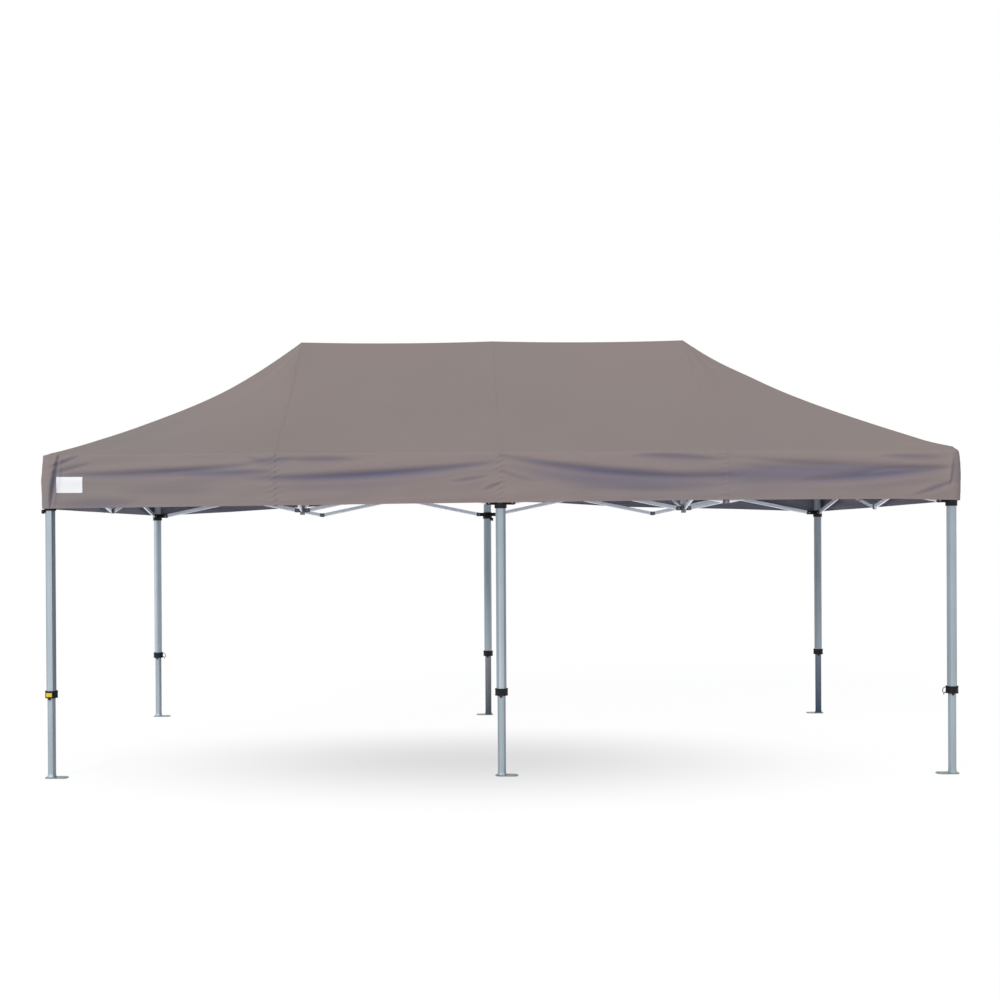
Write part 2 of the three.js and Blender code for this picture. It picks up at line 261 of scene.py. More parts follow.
def moulded(name, colour, roughness=0.48):
    """Glass-filled nylon with a fine spark-eroded grain and a few scuffs."""
    material, shader = new_material(name, colour, roughness, **{"Specular IOR Level": 0.2})
    tree = material.node_tree
    scuffs = object_noise(tree, 25.0, detail=5.0)
    tinted(shader, colour, scuffs, 0.8, 1.7)
    set_inputs(shader, {"Roughness": between(scuffs, roughness - 0.06, roughness + 0.16)})
    bumped(shader, object_noise(tree, 900.0, detail=2.0), 0.2, 0.0003)
    return material


def galvanised(name, colour, roughness):
    """Zinc-plated steel with a soft spangle."""
    material, shader = new_material(name, colour, roughness, 0.8)
    tree = material.node_tree
    place = add_node(tree, "ShaderNodeTexCoord").outputs["Object"]
    cells = add_node(tree, "ShaderNodeTexVoronoi", {"Vector": place, "Scale": 70.0})
    split = add_node(tree, "ShaderNodeSeparateColor", {"Color": cells.outputs["Color"]})
    tinted(shader, colour, split.outputs["Red"], 0.9, 1.08)
    set_inputs(shader, {"Roughness": between(split.outputs["Green"], roughness - 0.06, roughness + 0.1)})
    bumped(shader, object_noise(tree, 40.0), 0.1, 0.0005)
    return material


def woven(name, colour):
    """Matt woven fabric, as of a blank label, a thread or a cord."""
    material, shader = new_material(name, colour, 0.6)
    threads = object_noise(material.node_tree, 700.0, (1.0, 1.0, 0.4), 1.0)
    tinted(shader, colour, threads, 0.97, 1.02)
    bumped(shader, threads, 0.2, 0.0003)
    return material


MATERIALS = {}


def make_materials():
    canopy = bpy.context.scene.marquee_canopy
    leg, truss = bpy.context.scene.marquee_metal.leg_colour, bpy.context.scene.marquee_metal.truss_colour
    upright = (1, 1, 0.03)
    MATERIALS.update(
        fabric=canopy_fabric(canopy),
        lining=fabric_lining(canopy.lining_colour),
        leg=anodised("leg_aluminium_finish", leg, upright),
        # painted light: lighter copies of the leg finish for two rear upper tubes
        pale_leg=anodised("pale_leg_finish", [1.5 * c for c in leg], upright),
        worn_leg=anodised("worn_leg_finish", [1.3 * c for c in leg], upright),
        inner_leg=anodised("inner_leg_finish", leg, upright, 0.48),
        # painted shade: darker, bluer lower tubes for two rear legs, darkest towards the ground
        dull_leg=anodised("dull_inner_leg_finish", (0.27, 0.28, 0.30), upright, foot=(0.045, 0.062, 0.084)),
        blue_leg=anodised("blued_inner_leg_finish", (0.165, 0.200, 0.255), upright,
                          foot=(0.026, 0.050, 0.090)),
        bar_x=anodised("long_bar_finish", truss, (0.05, 1, 1), 0.36, 0.85),
        bar_y=anodised("side_bar_finish", truss, (1, 0.05, 1), 0.36, 0.85),
        cast=anodised("cast_bracket_finish", [0.8 * c for c in truss], (1, 1, 1), metallic=0.5),
        nylon=moulded("black_nylon_finish", bpy.context.scene.marquee_metal.nylon_colour),
        plug=moulded("bar_end_finish", (0.19, 0.18, 0.17), 0.45),
        zinc=galvanised("foot_plate_zinc", (0.26, 0.30, 0.31), 0.42),
        bolt=galvanised("bolt_zinc", (0.34, 0.34, 0.35), 0.4),
        # painted light: the thread is a quarter lighter than the cloth, to offset the shade along the seams
        thread=woven("canopy_thread", [1.25 * c for c in canopy.colour]),
        patch=woven("blank_white_patch", (0.95, 0.95, 0.97)),
        yellow=woven("blank_yellow_patch", (0.80, 0.62, 0.02)),
        pull=woven("pull_cord_red", (0.50, 0.10, 0.05)),
    )


# ---------------------------------------------------------------- mesh helpers
def add_object(name, mesh, *materials):
    made = bpy.data.objects.new(name, mesh)
    bpy.context.collection.objects.link(made)
    for material in materials:
        mesh.materials.append(MATERIALS[material])
    return made


def from_bmesh(name, shape, *materials, smooth_angle=35):
    bmesh.ops.recalc_face_normals(shape, faces=shape.faces)
    mesh = bpy.data.meshes.new(name)
    shape.to_mesh(mesh)
    shape.free()
    mesh.shade_smooth()
    mesh.set_sharp_from_angle(angle=math.radians(smooth_angle))
    return add_object(name, mesh, *materials)


def settle(made, body, node=None):
    """Tie a piece to its body and the frame node that it replaces, if any."""
    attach(made, body)
    if node:
        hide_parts(node)
    return made


def joined(*parts):
    """One shape of several, which it uses up."""
    whole = bmesh.new()
    for part in parts:
        mesh = bpy.data.meshes.new("part")
        part.to_mesh(mesh)
        part.free()
        whole.from_mesh(mesh)
        bpy.data.meshes.remove(mesh)
    return whole


def skinned(rings, looped=False):
    """A closed shape over rings of points: its ends capped, or its last ring joined to its first."""
    shape = bmesh.new()
    rows = [[shape.verts.new(point) for point in ring] for ring in rings]
    for a, b in zip(rows, rows[1:] + (rows[:1] if looped else [])):
        for i in range(len(a)):
            shape.faces.new((a[i - 1], a[i], b[i], b[i - 1]))
    if not looped:
        shape.faces.new(rows[0][::-1])
        shape.faces.new(rows[-1])
    return shape


def circle(radius, sides):
    return [(radius * math.cos(2 * math.pi * k / sides), radius * math.sin(2 * math.pi * k / sides))
            for k in range(sides)]


def hexagon(flats):
    """Corners of a hexagon with flats facing the front and the back."""
    return circle(flats / 2 / math.cos(math.pi / 6), 6)


def box_outline(length, width):
    return [(-length / 2, -width / 2), (length / 2, -width / 2), (length / 2, width / 2),
            (-length / 2, width / 2)]


def rounded(outline, radius, steps=3):
    """An outline with its corners rounded."""
    points = []
    for i, corner in enumerate(outline):
        here = Vector(corner)
        before = (Vector(outline[i - 1]) - here).normalized()
        after = (Vector(outline[(i + 1) % len(outline)]) - here).normalized()
        half = before.angle(after) / 2
        reach = radius / math.tan(half)
        centre = here + (before + after).normalized() * radius / math.sin(half)
        first = here + before * reach - centre
        turn = first.angle_signed(here + after * reach - centre)
        points += [tuple(centre + Matrix.Rotation(-turn * k / steps, 2) @ first) for k in range(steps + 1)]
    return points


def extruded(outline, low, high, place=Matrix.Identity(4)):
    """A closed prism over an outline in XY, from low to high in Z, moved by place."""
    return skinned([[place @ Vector((x, y, z)) for x, y in outline] for z in (low, high)])


def pipe(outer, inner, low, high):
    """A tube between two outlines with as many points each."""
    return skinned([[(x, y, z) for x, y in outline] for outline, z in (
        (outer, low), (outer, high), (inner, high), (inner, low))], looped=True)


def swept(points, radius, sides=8):
    """A round rod along a path."""
    path = [Vector(p) for p in points]
    up = Vector((0, 0, 1))
    rings = []
    for i, point in enumerate(path):
        tangent = (path[min(i + 1, len(path) - 1)] - path[max(i - 1, 0)]).normalized()
        if abs(tangent.dot(up)) > 0.95:
            up = Vector((1, 0, 0))
        side = tangent.cross(up).normalized()
        up = side.cross(tangent)
        rings.append([point + x * side + y * up for x, y in circle(radius, sides)])
    return skinned(rings)


def eased(points, steps):
    """A smooth path through the points."""
    path = [Vector(p) for p in points]
    path = [2 * path[0] - path[1], *path, 2 * path[-1] - path[-2]]
    result = []
    for a, b, c, d in zip(path, path[1:], path[2:], path[3:]):
        for t in (k / steps for k in range(steps)):
            result.append(0.5 * (2 * b + (c - a) * t + (2 * a - 5 * b + 4 * c - d) * t * t
                                 + (3 * b - a - 3 * c + d) * t ** 3))
    return [*result, path[-2]]


def bevel_edges(shape, width, angle=30):
    sharp = [edge for edge in shape.edges
             if len(edge.link_faces) == 2 and edge.calc_face_angle(0) > math.radians(angle)]
    bmesh.ops.bevel(shape, geom=sharp, offset=width, segments=2, profile=0.5, affect="EDGES",
                    clamp_overlap=True)


def rounded_block(size, place, bevel=0.002):
    """A box of the given size, its edges rounded, moved by place."""
    block = bmesh.new()
    bmesh.ops.create_cube(block, size=1, matrix=Matrix.Diagonal((*size, 1)))
    bmesh.ops.bevel(block, geom=block.edges[:], offset=bevel, segments=2, profile=0.5, affect="EDGES")
    block.transform(Matrix.Translation(place))
    return block


def turned_disc(radius, low, high, place, sides=24, bevel=0.001):
    """A short round bar along local Z, its rims rounded, moved by place."""
    disc = extruded(circle(radius, sides), low, high)
    bevel_edges(disc, bevel, angle=60)
    disc.transform(place)
    return disc


def facing(point, axis, way):
    """Places local Z along +X or -X, or along +Y or -Y, at a point."""
    quarter = math.copysign(math.pi / 2, way if axis == "X" else -way)
    return Matrix.Translation(point) @ Matrix.Rotation(quarter, 4, "Y" if axis == "X" else "X")


def refined(node, name, *materials, bevel=None, choose=None):
    """A bevelled copy of a frame node. choose(centre) gives the material of a face."""
    shape = bmesh.new()
    shape.from_mesh(frame["nodes"][node].data)
    bmesh.ops.remove_doubles(shape, verts=shape.verts, dist=2e-5)
    bmesh.ops.dissolve_limit(shape, angle_limit=math.radians(1), verts=shape.verts, edges=shape.edges)
    bevel_edges(shape, bevel or bpy.context.scene.marquee_metal.small_bevel)
    if choose:
        for face in shape.faces:
            face.material_index = choose(face.calc_center_median())
    return from_bmesh(name, shape, *materials)


# ---------------------------------------------------------------- repeated small parts
def node_group(name, sizes):
    """A geometry tree with a described input for each size, and its input and output nodes."""
    tree = bpy.data.node_groups.new(name, "GeometryNodeTree")
    tree.is_modifier = True
    face = tree.interface
    face.new_socket("Geometry", in_out="INPUT", socket_type="NodeSocketGeometry")
    for label, (kind, note) in sizes.items():
        face.new_socket(label, description=note, in_out="INPUT", socket_type="NodeSocket" + kind)
    face.new_socket("Geometry", in_out="OUTPUT", socket_type="NodeSocketGeometry")
    return tree, tree.nodes.new("NodeGroupInput").outputs, tree.nodes.new("NodeGroupOutput")


def on_points(points, shape, direction):
    """Instances of a shape on points, with their Z along a direction."""
    turn = add_node(points.id_data, "FunctionNodeAlignRotationToVector", {"Vector": direction}, axis="Z")
    return add_node(points.id_data, "GeometryNodeInstanceOnPoints", {
        "Points": points, "Instance": shape, "Rotation": turn.outputs["Rotation"]}).outputs["Instances"]


def finish_group(instances, material, group_out):
    """Realize Instances and Set Material, on to the tree's output."""
    tree = instances.id_data
    real = add_node(tree, "GeometryNodeRealizeInstances", {"Geometry": instances})
    painted = add_node(tree, "GeometryNodeSetMaterial",
                       {"Geometry": real.outputs["Geometry"], "Material": material})
    set_inputs(group_out, {"Geometry": painted.outputs["Geometry"]})
    return tree


def stitch_tree():
    """Short threads laid end to end along each edge path of the mesh."""
    tree, given, group_out = node_group("stitches_along_paths", {
        "Pitch": ("Float", "Distance between stitches"),
        "Length": ("Float", "Length of one stitch"),
        "Thickness": ("Float", "Thickness of the thread"),
        "Material": ("Material", "Thread finish"),
    })
    curve = add_node(tree, "GeometryNodeMeshToCurve", {"Mesh": given["Geometry"]})
    points = add_node(tree, "GeometryNodeCurveToPoints",
                      {"Curve": curve.outputs["Curve"], "Length": given["Pitch"]}, mode="LENGTH")
    size = add_node(tree, "ShaderNodeCombineXYZ",
                    {"X": given["Thickness"], "Y": given["Thickness"], "Z": given["Length"]})
    thread = add_node(tree, "GeometryNodeMeshCube", {"Size": size.outputs["Vector"]})
    placed = on_points(points.outputs["Points"], thread.outputs["Mesh"], points.outputs["Tangent"])
    return finish_group(placed, given["Material"], group_out)


def bolt_tree():
    """A washer and a bolt head on each point, which face along the point's axis attribute."""
    tree, given, group_out = node_group("bolt_heads_on_pivots", {
        "Head Radius": ("Float", "Corner radius of the hexagonal head"),
        "Head Height": ("Float", "Height of the head above its washer"),
        "Washer Radius": ("Float", "Outer radius of the washer"),
        "Washer Height": ("Float", "Thickness of the washer"),
        "Seed": ("Int", "Which way the corners of each head point"),
        "Material": ("Material", "Bolt finish"),
    })

    def disc(sides, radius, height, under):
        """A disc that stands on the height under it."""
        made = add_node(tree, "GeometryNodeMeshCylinder",
                        {"Vertices": sides, "Radius": given[radius], "Depth": given[height]})
        lift = add_node(tree, "ShaderNodeMath", {0: given[height], 1: 0.5, 2: under},
                        operation="MULTIPLY_ADD")
        offset = add_node(tree, "ShaderNodeCombineXYZ", {"Z": lift.outputs["Value"]})
        return add_node(tree, "GeometryNodeTransform", {
            "Geometry": made.outputs["Mesh"], "Translation": offset.outputs["Vector"]}).outputs["Geometry"]

    join = tree.nodes.new("GeometryNodeJoinGeometry")
    set_inputs(join, {"Geometry": disc(6, "Head Radius", "Head Height", given["Washer Height"])})
    set_inputs(join, {"Geometry": disc(16, "Washer Radius", "Washer Height", 0.0)})
    axis = add_node(tree, "GeometryNodeInputNamedAttribute", {"Name": "axis"}, data_type="FLOAT_VECTOR")
    spin = add_node(tree, "FunctionNodeRandomValue", {
        "Min": (0, 0, 0), "Max": (0, 0, math.pi / 3), "Seed": given["Seed"]}, data_type="FLOAT_VECTOR")
    points = add_node(tree, "GeometryNodeMeshToPoints", {"Mesh": given["Geometry"]})
    placed = on_points(points.outputs["Points"], join.outputs["Geometry"], axis.outputs["Attribute"])
    turned = add_node(tree, "GeometryNodeRotateInstances",
                      {"Instances": placed, "Rotation": spin.outputs["Value"]})
    return finish_group(turned.outputs["Instances"], given["Material"], group_out)


TREES = {}


def grown(name, mesh, make_tree, values):
    """The mesh with a geometry tree applied, its inputs set by their identifiers, as a plain mesh."""
    made = add_object(name, mesh)
    tree = TREES.get(make_tree) or TREES.setdefault(make_tree, make_tree())
    modifier = made.modifiers.new(tree.name, "NODES")
    modifier.node_group = tree
    for item in tree.interface.items_tree:
        if item.in_out == "INPUT" and item.name in values:
            modifier[item.identifier] = values[item.name]
    bpy.context.view_layer.update()
    evaluated = made.evaluated_get(bpy.context.evaluated_depsgraph_get())
    mesh = bpy.data.meshes.new_from_object(evaluated)
    made.modifiers.clear()
    made.data = mesh
    return made


def stitching(name, paths):
    """Stitches along several paths of points."""
    pitch = bpy.context.scene.marquee_canopy.stitch_pitch
    verts, edges = [], []
    for path in paths:
        edges += [(len(verts) + i, len(verts) + i + 1) for i in range(len(path) - 1)]
        verts += [tuple(p) for p in path]
    mesh = bpy.data.meshes.new(name)
    mesh.from_pydata(verts, edges, [])
    return grown(name, mesh, stitch_tree, {
        "Pitch": pitch, "Length": 0.7 * pitch, "Thickness": 0.0011, "Material": MATERIALS["thread"]})


def bolts(name, places):
    """Bolt heads at (point, outward axis) places."""
    mesh = bpy.data.meshes.new(name)
    mesh.from_pydata([tuple(point) for point, _ in places], [], [])
    axes = np.array([tuple(axis) for _, axis in places], np.float32)
    mesh.attributes.new("axis", "FLOAT_VECTOR", "POINT").data.foreach_set("vector", axes.ravel())
    return grown(name, mesh, bolt_tree, {
        "Head Radius": 0.0062, "Head Height": 0.0035, "Washer Radius": 0.0082, "Washer Height": 0.0012,
        "Seed": 3, "Material": MATERIALS["bolt"]})


# ---------------------------------------------------------------- canopy
BAND_TOP = 0.16  # share of a long slope that is cut in one with the valance
CORNER_RADIUS = 0.055
LEG_TRAVEL = 2.5  # how far neighbouring corner legs come together when the frame folds
SEAM_HALF = 0.006  # half the width of a felled seam
SEAM_RAISE = 0.0007
HEM_HEIGHT = 0.026
STITCH_LIFT = 0.0004
STITCH_INSET = 0.0042  # from a seam to the row of stitches on each side of it
HEM_STITCH_LIFT = 0.0014
EAVE_DIP = 0.825  # share of the roof's dip that shapes the slope next to the eave
EAVE_STEPS = 6
BAND_STEPS = 15
ROOF_STEPS = 40

Side = namedtuple("Side", "out way half reach seams")  # out and way are the outward and along directions
SIDES = {
    "front": Side(Vector((0, -1)), Vector((1, 0)), HALF_LENGTH, HALF_DEPTH, (-BAY, 0.0, BAY)),
    "right": Side(Vector((1, 0)), Vector((0, 1)), HALF_DEPTH, HALF_LENGTH, (0.0,)),
    "rear": Side(Vector((0, 1)), Vector((-1, 0)), HALF_LENGTH, HALF_DEPTH, (-BAY, 0.0, BAY)),
    "left": Side(Vector((-1, 0)), Vector((0, -1)), HALF_DEPTH, HALF_LENGTH, (0.0,)),
}
LONG_SIDES = ("front", "rear")

# Drag folds in the front valance: ends (along, below the eave), sag, half width, depth and, where it
# doesn't follow from the depth, the strength of the painted shade in the fold; the broad shallow ones carry
# mostly painted shade.
FRONT_FOLDS = [
    ((-2.96, 0.126), (-1.55, 0.064), 0.024, 0.022, 0.011, 0.70),
    ((-2.28, 0.118), (-1.42, 0.120), 0.003, 0.023, 0.008, 0.8),
    ((-1.72, 0.158), (0.04, 0.062), 0.030, 0.026, 0.017, 1.0),
    ((-1.45, 0.040), (-0.88, 0.048), 0.000, 0.018, 0.006, 0.5),
    ((-1.66, 0.060), (-1.30, 0.036), 0.000, 0.022, 0.005, 0.5),
    ((-1.40, 0.215), (-0.45, 0.170), 0.010, 0.045, 0.004, 0.35),
    ((-0.02, 0.024), (1.62, 0.166), 0.050, 0.030, 0.017, 0.95),
    ((0.02, 0.090), (1.60, 0.200), 0.060, 0.060, 0.007, 0.65),
    ((0.85, 0.030), (1.47, 0.064), -0.008, 0.020, 0.009, 0.6),
    ((1.53, 0.040), (2.95, 0.122), 0.026, 0.028, 0.009, 0.5),
    ((1.00, 0.160), (2.60, 0.160), 0.006, 0.056, 0.003, 0.75),
    ((1.50, 0.096), (2.96, 0.126), 0.030, 0.052, 0.009, 0.8),
    ((1.90, 0.210), (2.96, 0.114), 0.000, 0.028, 0.013, 1.0),
    ((2.68, 0.296), (2.98, 0.190), 0.006, 0.016, 0.008),
    ((-2.93, 0.300), (-2.35, 0.285), 0.010, 0.032, 0.007),
    ((-2.60, 0.225), (-1.70, 0.235), 0.000, 0.040, 0.003),
    ((-0.12, 0.246), (0.02, 0.190), 0.000, 0.012, 0.007),
    ((-0.04, 0.110), (0.26, 0.198), 0.004, 0.013, 0.006),
    ((-0.34, 0.188), (-0.06, 0.150), 0.004, 0.012, 0.006),
    ((-1.66, 0.010), (-1.47, 0.092), 0.004, 0.013, 0.005),
    ((-2.870, -0.030), (-2.940, 0.350), 0.006, 0.012, 0.016, 1.0),
    ((-2.95, 0.085), (-2.74, 0.010), 0.000, 0.010, 0.009),
    ((-2.95, 0.125), (-2.66, 0.055), 0.000, 0.011, 0.007),
    ((2.960, 0.010), (2.925, 0.250), -0.006, 0.011, 0.011),
    ((2.45, 0.040), (2.92, 0.056), 0.000, 0.016, 0.006),
    ((0.35, 0.235), (1.30, 0.262), 0.000, 0.020, 0.004),
]
# How far the front hem hangs low, and how far the rear one is hitched up, at places along the length.
HEM_DROOP = ([-HALF_LENGTH, -1.6, 0.0, 1.4, 2.6, HALF_LENGTH], [0.034, 0.022, 0.009, 0.0, 0.0, 0.010])
REAR_HITCH = ([-2.9, -2.3, -1.7, -0.9, 0.0, 0.6, 1.2, 2.2, 2.9],
              [0.0, 0.028, 0.065, 0.108, 0.112, 0.095, 0.055, 0.030, 0.005])


def smooth(x):
    """0 up to 0, 1 from 1, and an ease between them."""
    x = np.clip(x, 0, 1)
    return x * x * (3 - 2 * x)


def fold_relief(along, below, start, end, sag, width, depth, shade=None):
    """Outward relief of one drag fold, and the painted shade along its groove, for arrays of places."""
    (a0, s0), (a1, s1) = start, end
    # strength of the painted shade, worked out from the depth where it isn't given
    shade = shade or min(1, 0.12 + depth / 0.019)
    length = math.hypot(a1 - a0, s1 - s0)
    da, ds = (a1 - a0) / length, (s1 - s0) / length
    share = ((along - a0) * da + (below - s0) * ds) / length
    inside = (share > 0) & (share < 1)
    share = np.clip(share, 0, 1)
    bell = np.sin(np.pi * share)
    aside = (below - s0) * da - (along - a0) * ds - sag * 4 * share * (1 - share)
    off = aside / (width * (0.5 + 0.5 * bell))
    strength = np.where(inside, np.maximum(bell, 0) ** 0.7, 0)

    def ridge(height, place, spread):
        return height * np.exp(-((off - place) / spread) ** 2)

    groove = ridge(-1, 0, 1) + ridge(0.5, -1.7, 1.3) + ridge(0.35, 1.9, 1.4)
    # painted shade, darkest just above the middle of the groove
    dark = ridge(0.75, -0.2, 0.9) + ridge(0.25, 0.9, 2.2)
    return depth * strength * groove, strength * dark * shade


def side_folds(name):
    """Drag folds for a side that isn't the front, hung between its legs and corners."""
    draw = random.Random({"right": 11, "rear": 23, "left": 37}[name])
    half = SIDES[name].half
    posts = [-half, 0.0, half] if name in LONG_SIDES else [-half, half]
    folds = []
    for first, last in zip(posts, posts[1:]):
        for _ in range(3):
            a0 = first + (last - first) * draw.uniform(0.02, 0.35)
            a1 = last - (last - first) * draw.uniform(0.02, 0.3)
            s0, s1 = draw.uniform(0.02, 0.16), draw.uniform(0.02, 0.2)
            folds.append(((a0, s0), (a1, s1), draw.uniform(0.0, 0.05), draw.uniform(0.014, 0.024),
                          draw.uniform(0.006, 0.015)))
        for post, way in ((first, 1), (last, -1)):
            reach = draw.uniform(0.25, 0.45)
            ends = sorted([(post + way * 0.03, draw.uniform(0.02, 0.06)),
                           (post + way * reach, draw.uniform(0.2, 0.28))])
            folds.append((*ends, 0.0, 0.014, draw.uniform(0.005, 0.009)))
    return folds


def waves(along, below, draw, amplitude, lengths, count):
    """A sum of soft ripples; lengths is the shortest and longest wavelength each way."""
    total = np.zeros_like(along)
    for _ in range(count):
        across, down = (draw.uniform(*pair) for pair in lengths)
        total += np.sin(2 * np.pi * (along / across + below / down) + draw.uniform(0, 6.28))
    return total * amplitude / count


def relief(name, along, below):
    """Outward relief and painted fold shade of a side; below is negative above the eave."""
    settings = bpy.context.scene.marquee_canopy
    draw = random.Random({"front": 5, "right": 6, "rear": 7, "left": 8}[name])
    half = SIDES[name].half
    out = np.zeros_like(along)
    crease = np.zeros_like(along)
    for fold in FRONT_FOLDS if name == "front" else side_folds(name):
        depth, dark = fold_relief(along, below, *fold)
        out += depth
        crease = np.maximum(crease, dark)
    on_valance = smooth(below / 0.05)
    hang = np.clip(below / settings.valance_drop, 0, 1)
    out += on_valance * hang * waves(along, below, draw, 0.009, ((0.35, 1.1), (3.0, 9.0)), 4)
    out += on_valance * waves(along, below, draw, 0.0035, ((0.5, 1.6), (0.07, 0.16)), 6)
    out += (1 - on_valance) * waves(along, below, draw, 0.005, ((0.5, 1.7), (0.5, 2.0)), 7)
    corner = np.exp(-((half - np.abs(along)) / 0.10) ** 2)
    bulge = {"front": 0.011 + 0.004 * along / half, "right": 0.009, "rear": 0.010, "left": 0.006}[name]
    out += corner * on_valance * bulge * np.sin(np.pi * hang)
    if name == "left":  # the front left corner of the eave is drawn in
        drawn = np.exp(-((half - along) / 0.35) ** 2) * smooth((below + 0.5) / 0.5)
        out -= 0.013 * drawn * (1 - smooth(below / 0.14))
    for k, seam in enumerate(SIDES[name].seams):
        near = along - seam
        wiggle = 2 * np.pi * (below / 0.034 + 0.6 * np.sin(near * 30 + k)) + 2.1 * k
        pucker = np.exp(-(np.abs(near) / 0.06) ** 1.4) * np.sin(wiggle)
        out += pucker * 0.0021 * np.where(below > 0, 1.0, 0.25)
        # painted shade in the hollows of the puckers along the seams, on the valance
        crease = np.maximum(crease, np.where(below > 0.0, 0.16 * np.clip(-pucker, 0, 1), 0))
    # painted shade: the whole valance a little darker and cooler than the roof
    crease = np.maximum(crease, 0.06 * on_valance)
    # the cloth can't reach the legs, at rest or when the band closes up on them
    legs = [0.0, -half, half] if name in LONG_SIDES else [-half, half]
    near_leg = np.max([smooth(2.4 - np.abs(along - leg) / 0.35) for leg in legs], axis=0)
    deepest = np.where(below > 0, 0.024 * near_leg - 0.032, -1)
    return np.maximum(out * settings.fold_depth, deepest), np.clip(crease, 0, 1)


def column_places(side):
    """Places along a straight side: even steps between its seams, and narrow ones at each seam."""
    fine, fine_step, step = 0.13, 0.0065, 0.023  # closer columns where folds run down next to a corner
    ends = [-(side.half - CORNER_RADIUS), *side.seams, side.half - CORNER_RADIUS]
    places = [ends[0]]
    for first, last in zip(ends, ends[1:]):
        at_start, at_end = first == ends[0], last == ends[-1]
        start = first if at_start else first + 2 * SEAM_HALF
        stop = last if at_end else last - 2 * SEAM_HALF
        if not at_start:
            places.append(start)
        stretch = [start, *([start + fine] if at_start else []), *([stop - fine] if at_end else []), stop]
        for low, high in zip(stretch, stretch[1:]):
            steps = max(2, round((high - low) / (fine_step if high - low < 1.1 * fine else step)))
            places += [low + (high - low) * i / steps for i in range(1, steps + 1)]
        if not at_end:
            places += [last + share * SEAM_HALF for share in (-1.15, -0.85, 0, 0.85, 1.15)]
    return places


